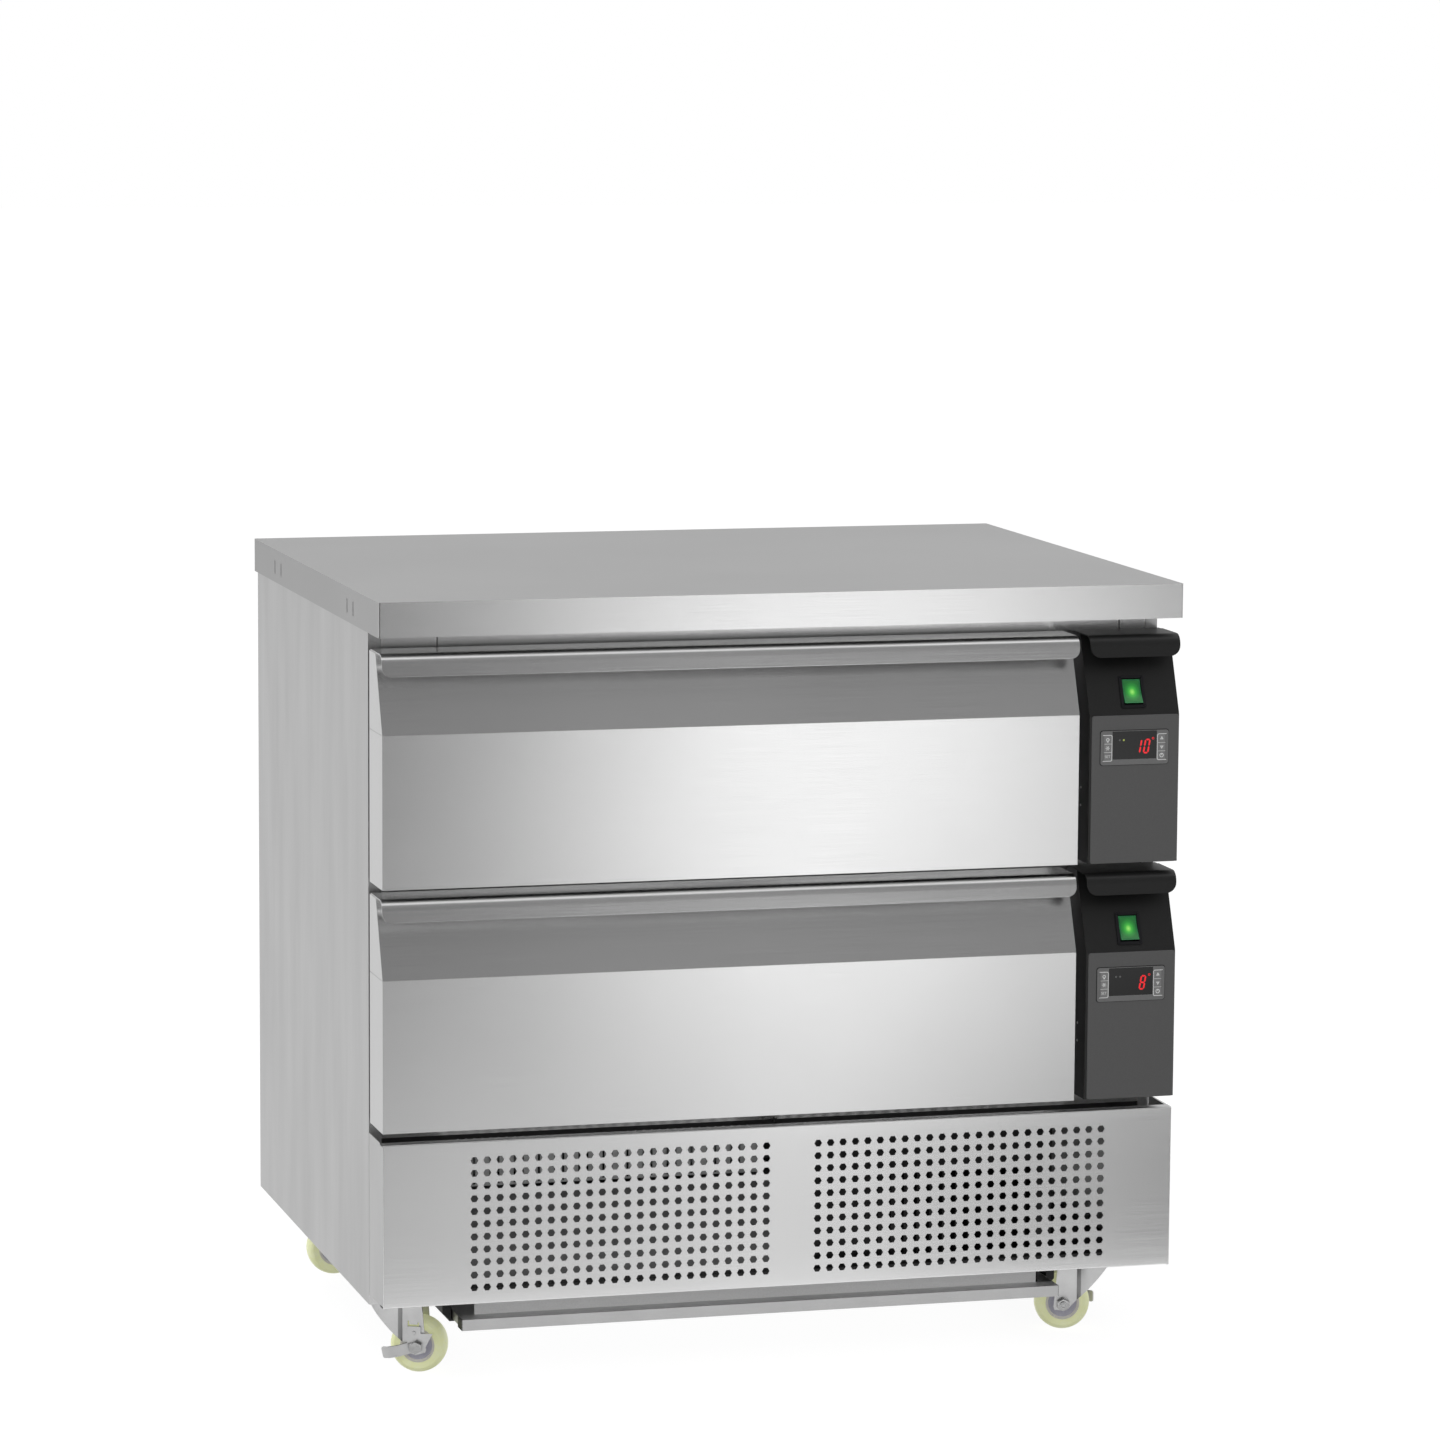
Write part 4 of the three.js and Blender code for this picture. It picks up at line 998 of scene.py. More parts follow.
def switch_bezel(level):
    """Black frame round a switch, with the well that holds it."""
    half_x = BEZEL_WIDTH / 2
    half_z = BEZEL_HEIGHT / 2
    corners = ((-half_x, -BEZEL_PROUD, -half_z), (half_x, WELL_DEPTH, half_z))
    piece = block(f"{level}_switch_bezel", *corners)
    round_edges(piece, lambda edge: edge_runs(edge, "y"), BEZEL_CORNER, 4)
    pick(piece, "FACE", faces_to(0, -1, 0))
    bpy.ops.mesh.inset(thickness=BEZEL_FRAME)
    pull(0, WELL_DEPTH, 0)
    done()
    soften(piece, EDGE_ROUND, 2)
    onto_slope(piece, level)
    settle(piece, "root", bezel_plastic, "black_housing")


def box_of(piece):
    """Lowest and highest corners of a piece."""
    corners = [Vector(corner) for corner in piece.bound_box]
    low = Vector([min(corner[i] for corner in corners) for i in range(3)])
    high = Vector([max(corner[i] for corner in corners) for i in range(3)])
    return low, high


def window_sheet(name, half_x, half_z, front):
    """The rocker's clear window, dished as the rocker is."""
    y = front - WINDOW_PROUD
    piece = sheet_face(name, (-half_x, y, -half_z), (half_x, y, half_z), "y")
    pick(piece, "EDGE", lambda edge: edge_runs(edge, "z"))
    bpy.ops.mesh.subdivide(number_cuts=3)
    done()
    for height, share in ((0, 1), (half_z / 2, DISH_SHARE)):
        move(piece, "VERT", lambda point: abs(abs(point.co.z) - height) < NEAR, 0, ROCKER_DISH * share, 0)
    thicken(piece, WINDOW_PROUD)
    return piece


def switch_rocker(level):
    """Rocker: dished face with a sunk lit window, tapering towards its back."""
    half_x = ROCKER_WIDTH / 2
    half_z = ROCKER_HEIGHT / 2
    front = -ROCKER_PROUD
    back = ROCKER_DEPTH - ROCKER_PROUD

    def upright(edge):
        return edge_runs(edge, "z") or abs(edge.verts[0].co.z - edge.verts[1].co.z) > half_z

    piece = block(f"{level}_switch_rocker", (-half_x, front, -half_z), (half_x, back, half_z))
    pick(piece, "FACE", faces_to(0, 1, 0))
    spread((0, back, 0), 1, 1, ROCKER_TAPER)
    done()
    pick(piece, "EDGE", upright)
    bpy.ops.mesh.subdivide(number_cuts=3)
    done()
    for height, share in ((0, 1), (half_z / 2, DISH_SHARE)):
        on_line = both(at("y", front), lambda point: abs(abs(point.co.z) - height) < NEAR)
        move(piece, "VERT", on_line, 0, ROCKER_DISH * share, 0)
    pick(piece, "FACE", lambda face: face.normal.y < -FRONT_FACING)
    bpy.ops.mesh.inset(thickness=LENS_FRAME)
    pull(0, LENS_SUNK, 0)
    done()
    soften(piece, EDGE_ROUND / 2, 2)
    window_halves = (half_x - LENS_FRAME, half_z - LENS_FRAME)
    window = window_sheet(f"{level}_switch_window", *window_halves, front + LENS_SUNK)
    for part in (piece, window):
        part.rotation_euler = (-ROCKER_TILT, 0, 0)
        onto_slope(fix_place(part), level)
    low, high = box_of(window)
    glow = lit_window(f"{level}_window", (low + high) / 2, WINDOW_GLOW_SIZE)
    settle(window, f"{level}_rocker", glow, "green_lens")
    settle(piece, f"{level}_rocker", rocker_green, "green_lens", f"{level}_rocker")


# Controller: a rounded face with a sunk display and wells for its keys
CONTROLLER_RISE = 0.0013
CONTROLLER_CORNER = 0.003
DISPLAY_WIDTH = 0.0516
DISPLAY_HEIGHT = 0.0311
DISPLAY_DROP = 0.0007
DISPLAY_DEPTH = 0.0005
CONTROLLER_BODY = 0.05
KEY_GAP = 0.0001
KEY_TRAVEL = 0.0008
# Painted shadow round the controller: width of the dark strip, and how far it stands proud.
SHADOW_WIDTH = 0.0009
SHADOW_PROUD = 0.0002


def controller(level):
    """Controller: a rounded face with a sunk display, over a body that goes into the box."""
    low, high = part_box(f"{level}_controller")
    face = low.y + CONTROLLER_RISE
    piece = block(f"{level}_controller_face", low, (high.x, face, high.z))
    round_edges(piece, lambda edge: edge_runs(edge, "y"), CONTROLLER_CORNER, 4)
    middle = (low + high) / 2
    body = block(
        "controller_body",
        (low.x + CONTROLLER_RIM, face - SHEET / 2, low.z + CONTROLLER_RIM),
        (high.x - CONTROLLER_RIM, low.y + CONTROLLER_BODY, high.z - CONTROLLER_RIM),
    )
    unite(piece, body)
    top = high.z - DISPLAY_DROP
    display = block(
        "display_hole",
        (middle.x - DISPLAY_WIDTH / 2, low.y - OVERRUN, top - DISPLAY_HEIGHT),
        (middle.x + DISPLAY_WIDTH / 2, low.y + DISPLAY_DEPTH, top),
    )
    front_margin = Vector((KEY_GAP, OVERRUN, KEY_GAP))
    back_margin = Vector((KEY_GAP, KEY_TRAVEL, KEY_GAP))
    wells = []
    for hand in HANDS:
        for row in KEY_ROWS:
            key_low, key_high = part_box(f"{level}_key_{hand}_{row}")
            wells.append(block("key_hole", key_low - front_margin, key_high + back_margin))
    cut(piece, display, *wells)
    soften(piece, EDGE_ROUND / 4, 1)
    settle(piece, "root", controller_plastic, "controller", f"{level}_controller")
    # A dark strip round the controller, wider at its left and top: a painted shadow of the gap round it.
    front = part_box(f"{level}_control_box")[0].y + CONTROL_FACE - PLATE_PROUD
    shadow_strip = block(
        f"{level}_controller_shadow_strip",
        (low.x - SHADOW_WIDTH, front - SHADOW_PROUD, low.z - SHADOW_WIDTH / 2),
        (high.x + SHADOW_WIDTH / 2, front + SHADOW_PROUD, high.z + SHADOW_WIDTH),
    )
    round_edges(shadow_strip, lambda edge: edge_runs(edge, "y"), CONTROLLER_CORNER, 4)
    pick(shadow_strip, "FACE", lambda face: abs(face.normal.y) > 1 - NEAR)
    bpy.ops.mesh.inset(thickness=CONTROLLER_RIM)
    bpy.ops.mesh.bridge_edge_loops()
    done()
    settle(shadow_strip, "root", rubber, "controller")
    glass = block(
        f"{level}_display",
        (middle.x - DISPLAY_WIDTH / 2, low.y + DISPLAY_DEPTH / 2, top - DISPLAY_HEIGHT),
        (middle.x + DISPLAY_WIDTH / 2, low.y + DISPLAY_DEPTH, top),
    )
    soften(glass, EDGE_ROUND / 4, 1)
    settle(glass, "root", display_glass, "controller")
    display_marks(level, middle.x - DISPLAY_WIDTH / 2, low.y + DISPLAY_DEPTH / 2, top)


# Display: slanted seven-bar digits, a degree ring and two small lights
DIGIT_BARS = {"1": "bc", "0": "abcdef", "8": "abcdefg"}
BAR_PLACE_SHARES = {
    "a": (0, 1),
    "b": (1, 0.5),
    "c": (1, -0.5),
    "d": (0, -1),
    "e": (-1, -0.5),
    "f": (-1, 0.5),
    "g": (0, 0),
}
DIGIT_HALF_WIDTH = 0.0025
DIGIT_HALF_HEIGHT = 0.0073
BAR_HALF = 0.0009
BAR_TAPER = 0.35
BAR_GAP = 0.0004
DIGIT_THICK = 0.0002
DIGIT_LEAN = math.radians(9.6)
READINGS = {"upper": (("1", 0.0303), ("0", 0.03995)), "lower": (("8", 0.0394),)}
DIGIT_DROP = 0.01715
DEGREE_PLACE = (0.0472, 0.0086)
DEGREE_RADIUS = 0.0013
DEGREE_LINE_SHARE = 0.38
LIGHT_PLACES = ((0.0084, 0.00975), (0.0131, 0.00975))
LIGHT_RADIUS = 0.0011
SECOND_LIGHT = {"upper": amber_light, "lower": dim_light}


def digit_bar(long_half, upright):
    """One bar with tapered ends, round the origin."""
    half = (BAR_HALF, long_half - BAR_GAP) if upright else (long_half - BAR_GAP, BAR_HALF)
    axis = 2 if upright else 0
    piece = block("bar", (-half[0], -DIGIT_THICK, -half[1]), (half[0], 0, half[1]))
    for side in (-1, 1):
        way = [0, 0, 0]
        way[axis] = side
        pick(piece, "FACE", faces_to(*way))
        pull(*(BAR_HALF * part for part in way))
        factors = [BAR_TAPER, 1, BAR_TAPER]
        factors[axis] = 1
        spread((0, 0, 0), *factors)
        done()
    return piece


def display_marks(level, left, face, top):
    """What a display shows, on the glass."""
    bars = []
    for digit, along in READINGS[level]:
        for key in DIGIT_BARS[digit]:
            side, up = BAR_PLACE_SHARES[key]
            upright = side != 0
            long_half = DIGIT_HALF_HEIGHT / 2 if upright else DIGIT_HALF_WIDTH
            bar = digit_bar(long_half - BAR_HALF, upright)
            height = up * DIGIT_HALF_HEIGHT
            lean = Matrix.Rotation(DIGIT_LEAN if upright else 0, 4, "Y")
            x = left + along + side * DIGIT_HALF_WIDTH + height * math.tan(DIGIT_LEAN)
            bar.matrix_world = Matrix.Translation((x, face, top - DIGIT_DROP + height)) @ lean
            bars.append(fix_place(bar))
    mark_y = face - DIGIT_THICK / 2
    ring_centre = (left + DEGREE_PLACE[0], mark_y, top - DEGREE_PLACE[1])
    line = DEGREE_RADIUS * DEGREE_LINE_SHARE
    bars.append(ring("degree", ring_centre, DEGREE_RADIUS, line, DIGIT_THICK))
    settle(join(f"{level}_digits", bars), "root", red_digit, "controller")
    lights = zip(LIGHT_PLACES, (dim_light, SECOND_LIGHT[level]))
    for index, ((along, down), material) in enumerate(lights):
        light = rod("light", "y", (left + along, mark_y, top - down), LIGHT_RADIUS, DIGIT_THICK)
        soften(light, DIGIT_THICK / 4, 1)
        light.name = f"{level}_light_{index + 1}"
        settle(light, "root", material, "controller")


def ring(name, centre, radius, width, thickness, sides=SMALL_SIDES):
    """A flat ring that faces the front."""
    piece = rod(name, "y", centre, radius, thickness, sides)
    pick(piece, "FACE", lambda face: abs(face.normal.y) > 1 - NEAR)
    bpy.ops.mesh.inset(thickness=width)
    bpy.ops.mesh.bridge_edge_loops()
    done()
    return piece


# Keys: caps, their signs and the printed lines round them
KEY_CORNER = 0.0012
MARK_THICK = 0.0002
MARK_HALF = 0.0025
MARK_LINE = 0.00095
OUTLINE_LINE = 0.0009
OUTLINE_CORNER = 0.002
OUTLINE_REACH = 0.0011
OUTLINE_OPEN = 0.0016
DIVIDER = 0.0006
SET_SIZE = 0.0042
LAMP_SHARE = 0.8
STAR_TURNS = (0, 60, 120)


def bar_mark(x, y, z, half_length, turn):
    """A thin bar, turned about the line of sight."""
    bar = block("bar", (-half_length, 0, -MARK_LINE / 2), (half_length, MARK_THICK, MARK_LINE / 2))
    soften(bar, MARK_THICK / 4, 1)
    bar.matrix_world = Matrix.Translation((x, y, z)) @ Matrix.Rotation(turn, 4, "Y")
    return fix_place(bar)


def word_mark(word, x, y, z):
    """A short word as flat letters."""
    bpy.ops.object.select_all(action="DESELECT")
    bpy.ops.object.text_add()
    piece = bpy.context.object
    piece.data.body = word
    piece.data.size = SET_SIZE
    piece.data.align_x = "CENTER"
    piece.data.align_y = "CENTER"
    piece.data.extrude = MARK_THICK / 2
    bpy.ops.object.convert(target="MESH")
    piece = bpy.context.object
    stood_up = Matrix.Rotation(math.pi / 2, 4, "X")
    piece.matrix_world = Matrix.Translation((x, y + MARK_THICK / 2, z)) @ stood_up
    fix_place(piece)
    pick(piece, "VERT", lambda point: True)
    bpy.ops.mesh.remove_doubles(threshold=MERGE / 4)
    bpy.ops.mesh.normals_make_consistent(inside=False)
    done()
    return piece


def key_marks(hand, row, x, y, z):
    """The sign on one key: lamp, defrost, a word, up, down and power."""
    centre = Vector((x, y + MARK_THICK / 2, z))
    if (hand, row) == ("left", 1):
        lamp_ring = ring("lamp", centre, MARK_HALF * LAMP_SHARE, MARK_LINE, MARK_THICK)
        return [lamp_ring, bar_mark(x, y, z - MARK_HALF, MARK_LINE, 0)]
    if (hand, row) == ("left", 2):
        return [bar_mark(x, y, z, MARK_HALF, math.radians(turn)) for turn in STAR_TURNS]
    if (hand, row) == ("left", 3):
        return [word_mark("SET", x, y, z)]
    if row < 3:
        piece = ring("arrow", centre, MARK_HALF, MARK_LINE, MARK_THICK, 3)
        if row == 2:
            turned_about(piece, centre, math.pi)
        return [piece]
    return [
        ring("power", centre, MARK_HALF, MARK_LINE, MARK_THICK),
        bar_mark(x, y - MARK_THICK / 4, z + MARK_HALF / 2, MARK_HALF / 2, math.pi / 2),
    ]


def keys(level):
    """The six keys of a controller, each with its sign, and the printed lines round them."""
    for hand in HANDS:
        for row in KEY_ROWS:
            node = f"{level}_key_{hand}_{row}"
            low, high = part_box(node)
            piece = block(f"{node}_cap", low + Vector((0, MARK_THICK, 0)), high)
            round_edges(piece, lambda edge: edge_runs(edge, "y"), KEY_CORNER, 3)
            soften(piece, EDGE_ROUND / 2, 2)
            settle(piece, node, key_plastic, "key", node)
            middle = (low + high) / 2
            marks = key_marks(hand, row, middle.x, low.y, middle.z)
            settle(join(f"{node}_mark", marks), node, print_white, "key")
        key_outline(level, hand)


def key_outline(level, hand):
    """Printed line round three keys, open towards the controller's end, with a divider between keys."""
    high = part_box(f"{level}_key_{hand}_1")[1]
    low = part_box(f"{level}_key_{hand}_3")[0]
    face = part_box(f"{level}_controller")[0].y
    closed = high.x + OUTLINE_REACH if hand == "left" else low.x - OUTLINE_REACH
    opened = low.x - OUTLINE_OPEN if hand == "left" else high.x + OUTLINE_OPEN
    start, end = sorted((closed, opened))
    y = face - MARK_THICK
    corners = ((start, y, low.z - OUTLINE_REACH), (end, y, high.z + OUTLINE_REACH))
    piece = sheet_face("outline", *corners, "y")
    pick(piece, "VERT", at("x", closed))
    bpy.ops.mesh.bevel(offset=OUTLINE_CORNER, segments=4, affect="VERTICES")
    done()
    pick(piece, "FACE", lambda face: True)
    bpy.ops.mesh.inset(thickness=OUTLINE_LINE)
    bpy.ops.mesh.delete(type="FACE")
    done()
    pick(piece, "FACE", lambda face: sum(at("x", opened)(point) for point in face.verts) == 2)
    bpy.ops.mesh.delete(type="FACE")
    done()
    thicken(piece, MARK_THICK)
    parts = [piece]
    for row in KEY_ROWS[1:]:
        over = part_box(f"{level}_key_{hand}_{row - 1}")[0].z
        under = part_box(f"{level}_key_{hand}_{row}")[1].z
        z = (over + under) / 2
        divider = block("divider", (low.x, y, z - DIVIDER / 2), (high.x, face, z + DIVIDER / 2))
        soften(divider, MARK_THICK / 4, 1)
        parts.append(divider)
    settle(join(f"{level}_outline_{hand}", parts), "root", print_white, "controller")


def control_screws(level):
    """Two small screws in a control box's left side."""
    low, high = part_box(f"{level}_control_box")
    for index, drop in enumerate(SCREW_DROPS):
        centre = (low.x - SCREW_HEAD / 2, low.y + SCREW_BACK, high.z - drop)
        piece = rod(f"{level}_screw_{index + 1}", "x", centre, SCREW_RADIUS, SCREW_HEAD)
        pick(piece, "FACE", faces_to(-1, 0, 0))
        bpy.ops.mesh.inset(thickness=SCREW_RADIUS / 2)
        pull(SCREW_HEAD / 2, 0, 0)
        done()
        soften(piece, SCREW_HEAD / 4, 2)
        settle(piece, "root", zinc, "black_housing")


# Castors: each is modelled round its swivel axis, its trail towards +X, then turned and moved to its place
CASTORS = {
    "front_left": (-0.4075, -0.2, -24),
    "rear_left": (-0.4075, 0.276, 0),
    "front_right": (0.4075, -0.2, 167),
    "rear_right": (0.4075, 0.276, 180),
}
TRAIL = 0.032
WHEEL_RADIUS = 0.0315
PLATE_HALF = 0.031
PLATE_LEVELS = (0.0902, 0.0927)
PLATE_CUT_CORNER = 0.004
CUP_RADIUS = 0.019
CUP_LOW = 0.0845
PIN_RADIUS = 0.008
PIN_LEVELS = (0.0789, 0.0814)
BOLT_PLACE = 0.0225
BOLT_RADIUS = 0.0042
BOLT_HEAD = 0.003
FORK_TOP = 0.0842
FORK_LOW = 0.0236
FORK_RADIUS = 0.024
FORK_BORE = 0.0052
FORK_SHEET = 0.0025
FORK_END = 0.0435
FORK_HALF = 0.0175
FORK_OUTLINE = (
    (-0.0155, 0.0709),
    (0.0264, 0.0252),
    (0.033, 0.0236),
    (0.0416, 0.0244),
    (0.0428, 0.0278),
    (0.0375, 0.0842),
)
FORK_ROUND = 0.0006
AXLE_RADIUS = 0.0039
NUT_RADIUS = 0.0075
NUT_HEIGHT = 0.0053
AXLE_END = 0.003
AXLE_HOLE = 0.0024
BRAKE_SHEET = 0.002
BRAKE_FACE = 0.0178
HOOK_CUT = 0.0014
HOOK_CUTS = (
    ((0.0222, 0.0544), (0.0238, 0.06)),
    ((0.0222, 0.0542), (0.035, 0.0558)),
    ((0.0334, 0.0542), (0.035, 0.0582)),
)
FOLD_X = (0.0115, 0.0175)
BRAKE_CLEAR = 0.0003
WASHER_SHARE = 1.08
HEX_INSET_SHARE = 0.16
HEX_CROWN_SHARE = 0.09


def castor_place(corner, turned=True):
    """Where a castor's swivel axis stands, and how the castor is turned."""
    x, y, turn = CASTORS[corner]
    angle = math.radians(turn) if turned else 0
    return Matrix.Translation((x, y, 0)) @ Matrix.Rotation(angle, 4, "Z")


def placed(piece, corner, turned=True):
    """Moves a piece modelled round a swivel axis to its castor."""
    piece.matrix_world = castor_place(corner, turned)
    return fix_place(piece)


def hexagon(name, axis, centre, radius, length):
    """A bolt head or nut with crowned ends."""
    piece = rod(name, axis, centre, radius, length, HEX_SIDES)
    for side in (-1, 1):
        way = [side if key == axis else 0 for key in "xyz"]
        pick(piece, "FACE", faces_to(*way))
        bpy.ops.mesh.inset(thickness=radius * HEX_INSET_SHARE)
        shift(*(length * HEX_CROWN_SHARE * part for part in way))
        done()
    soften(piece, EDGE_ROUND / 2, 2)
    return piece


def upright_rod(name, bottom, top, radius, sides=ROUND_SIDES):
    """A round bar on the swivel axis, between two heights."""
    return rod(name, "z", (0, 0, (bottom + top) / 2), radius, top - bottom, sides)


def castor_plate(corner):
    """Top plate with its bearing cup, the head of the swivel pin and four bolts."""
    under, over = PLATE_LEVELS
    plate = block("plate", (-PLATE_HALF, -PLATE_HALF, under), (PLATE_HALF, PLATE_HALF, over))
    round_edges(plate, lambda edge: edge_runs(edge, "z"), PLATE_CUT_CORNER, 4)
    soften(plate)
    cup = upright_rod("cup", CUP_LOW, over, CUP_RADIUS)
    round_edges(cup, at("z", CUP_LOW), FORK_SHEET, 4)
    pin = upright_rod("pin", PIN_LEVELS[0], CUP_LOW, FORK_BORE - FORK_ROUND, SMALL_SIDES)
    head = upright_rod("head", *PIN_LEVELS, PIN_RADIUS)
    soften(head, FORK_ROUND, 3)
    parts = [plate, cup, pin, head]
    for x in (-BOLT_PLACE, BOLT_PLACE):
        for y in (-BOLT_PLACE, BOLT_PLACE):
            centre = (x, y, under - BOLT_HEAD / 2)
            parts.append(hexagon("bolt", "z", centre, BOLT_RADIUS, BOLT_HEAD))
    piece = placed(join(f"{corner}_castor_top", parts), corner, turned=False)
    settle(piece, "root", zinc, "stainless", f"{corner}_castor_plate")


def castor_axle(corner, braked):
    """Axle bolt through both legs, with a head, a washer and a nut."""
    head = BRAKE_FACE + BRAKE_SHEET + BRAKE_CLEAR if braked else FORK_HALF
    start = -head - NUT_HEIGHT / 2
    end = FORK_HALF + NUT_HEIGHT + AXLE_END

    def on_axle(y):
        return (TRAIL, y, WHEEL_RADIUS)

    shaft = rod("shaft", "y", on_axle((start + end) / 2), AXLE_RADIUS, end - start)
    pick(shaft, "FACE", faces_to(0, 1, 0))
    bpy.ops.mesh.inset(thickness=AXLE_RADIUS - AXLE_HOLE)
    pull(0, -FORK_ROUND, 0)
    done()
    soften(shaft, EDGE_ROUND, 2)
    washer_radius = NUT_RADIUS * WASHER_SHARE
    washer = rod("washer", "y", on_axle(FORK_HALF + EDGE_ROUND), washer_radius, 2 * EDGE_ROUND)
    soften(washer, EDGE_ROUND / 2, 2)
    parts = [
        shaft,
        washer,
        hexagon("head", "y", on_axle(start), NUT_RADIUS, NUT_HEIGHT),
        hexagon("nut", "y", on_axle(FORK_HALF + NUT_HEIGHT / 2), NUT_RADIUS, NUT_HEIGHT),
    ]
    bolt = placed(join(f"{corner}_castor_axle", parts), corner)
    settle(bolt, f"{corner}_castor_fork", bolt_steel, "stainless")


def castor_fork(corner, braked):
    """Fork pressed from one sheet: a round crown that runs down into two legs, open towards its back."""
    piece = upright_rod("fork", FORK_LOW, FORK_TOP, FORK_RADIUS)
    leg = block("legs", (0, -FORK_HALF, FORK_LOW), (FORK_END, FORK_HALF, FORK_TOP))
    unite(piece, leg)
    trim(piece, FORK_OUTLINE)
    hollow_top = FORK_TOP - FORK_SHEET
    bottom = FORK_LOW - OVERRUN
    end = FORK_END + OVERRUN
    inside = FORK_HALF - FORK_SHEET
    hollow = upright_rod("hollow", bottom, hollow_top, FORK_RADIUS - FORK_SHEET)
    gap = block("gap", (0, -inside, bottom), (end, inside, hollow_top))
    open_top = block("open_top", (FORK_RADIUS, -inside, bottom), (end, inside, FORK_TOP + OVERRUN))
    bore = rod("bore", "z", (0, 0, FORK_TOP), FORK_BORE, 2 * OVERRUN)
    cut(piece, hollow, gap, open_top, bore)
    if braked:
        for (x0, z0), (x1, z1) in HOOK_CUTS:
            corners = ((x0, -FORK_HALF - OVERRUN, z0), (x1, HOOK_CUT - inside, z1))
            cut(piece, block("hook", *corners))
    soften(piece, FORK_ROUND, 3)
    castor_axle(corner, braked)
    piece.name = f"{corner}_castor_yoke"
    settle(placed(piece, corner), f"{corner}_castor_fork", zinc, "stainless", f"{corner}_castor_fork")
    home = castor_place(corner).inverted()

    def in_fold(face):
        """Whether a face lies in the hollow fold between the crown and a leg."""
        centre = home @ face.calc_center_median()
        return FOLD_X[0] < centre.x < FOLD_X[1] and abs(centre.y) > FORK_HALF - FORK_ROUND

    # Painted shade: the fold gets the darker zinc.
    paint(piece, zinc_painted_shade, in_fold)


# Wheel: points of half its section, tread and hub, each a radius and a half width
TREAD_SECTION = (
    (0.0315, 0.0032),
    (0.0306, 0.0088),
    (0.0286, 0.0118),
    (0.0262, 0.0134),
    (0.0198, 0.0127),
)
HUB_OUTER = 0.0196
RING_INNER = 0.0163
HUB_SECTION = (
    (HUB_OUTER, 0.0126),
    (0.019, 0.0132),
    (0.017, 0.0132),
    (RING_INNER, 0.0104),
    (0.0104, 0.0104),
    (0.0092, 0.0144),
    (0.0048, 0.0144),
)
BORE_RADIUS = 0.0043


def stepped_ring(name, section, bore, sides=ROUND_SIDES):
    """A ring about the axle, built out of a disc by steps of radius and half width, open at its bore."""
    first_radius, first_half = section[0]
    piece = rod(name, "y", (0, 0, 0), first_radius, 2 * first_half, sides)

    def is_end(face):
        return len(face.verts) == sides

    for side in (-1, 1):
        for (radius0, half0), (radius1, half1) in zip(section, section[1:]):
            pick(piece, "FACE", both(faces_to(0, side, 0), at("y", side * half0), is_end))
            pull(0, side * (half1 - half0), 0)
            spread((0, side * half1, 0), radius1 / radius0, 1, radius1 / radius0)
            done()
    radius = section[-1][0]
    pick(piece, "FACE", is_end)
    bpy.ops.mesh.inset(thickness=radius - bore)
    bpy.ops.mesh.bridge_edge_loops()
    done()
    return piece


def castor_wheel(corner):
    centre = Vector((TRAIL, 0, WHEEL_RADIUS))
    tread = stepped_ring("tread", TREAD_SECTION, HUB_OUTER - FORK_ROUND)
    soften(tread, FORK_ROUND, 3)
    hub = stepped_ring("hub", HUB_SECTION, BORE_RADIUS)
    soften(hub, EDGE_ROUND / 2, 2)
    # The tread and hub glow a little as painted light.
    for part, name, material in ((tread, "tyre", tread_plastic), (hub, "hub", hub_plastic)):
        part.name = f"{corner}_castor_{name}"
        part.location = centre
        placed(fix_place(part), corner)
        settle(part, f"{corner}_castor_wheel", material, "tread", f"{corner}_castor_wheel")
    home = castor_place(corner).inverted()

    def on_ring(face):
        """Whether a face lies on the hub's raised outer ring."""
        middle = home @ face.calc_center_median() - centre
        return math.hypot(middle.x, middle.z) > RING_INNER

    # The raised ring is paler plastic that also glows a little as painted light.
    paint(hub, ring_plastic, on_ring)


# Brake: an upright plate on the axle, outside the fork, and a pedal folded out of it
BRAKE_OUTLINE = (
    (0.0221, 0.0284),
    (0.0256, 0.0239),
    (0.032, 0.02205),
    (0.039, 0.0243),
    (0.0506, 0.0466),
)
BRAKE_X = (0.0221, 0.0371, 0.0506)
BRAKE_Z = (0.02205, 0.0466, 0.0542)
PEDAL_PATH = (
    (0.032, -0.0178),
    (0.023, -0.0178),
    (0.013, -0.0238),
    (0.002, -0.0238),
    (-0.006, -0.0178),
)
PEDAL_HALF = 0.0065
PEDAL_DROOP = math.radians(12)
BRAKE_LIFTS = {"front_left": 0, "front_right": math.radians(12)}
PEDAL_ROUND = 0.0025
EMBOSS_PLACE = (0.0296, 0.0471)
EMBOSS_RADIUS = 0.0022


def brake_plate():
    """Trimmed plate with a tab over it and an embossed point."""
    outer = -BRAKE_FACE - BRAKE_SHEET
    left, tab_right, right = BRAKE_X
    bottom, shoulder, top = BRAKE_Z
    plate = block("plate", (left, outer, bottom), (right, -BRAKE_FACE, shoulder))
    trim(plate, BRAKE_OUTLINE)
    tab = block("tab", (left, outer, shoulder - OVERRUN), (tab_right, -BRAKE_FACE, top))
    unite(plate, tab)
    boss = rod("boss", "y", (EMBOSS_PLACE[0], outer, EMBOSS_PLACE[1]), EMBOSS_RADIUS, FORK_SHEET / 2)
    soften(boss, FORK_ROUND, 3)
    unite(plate, boss)
    return plate


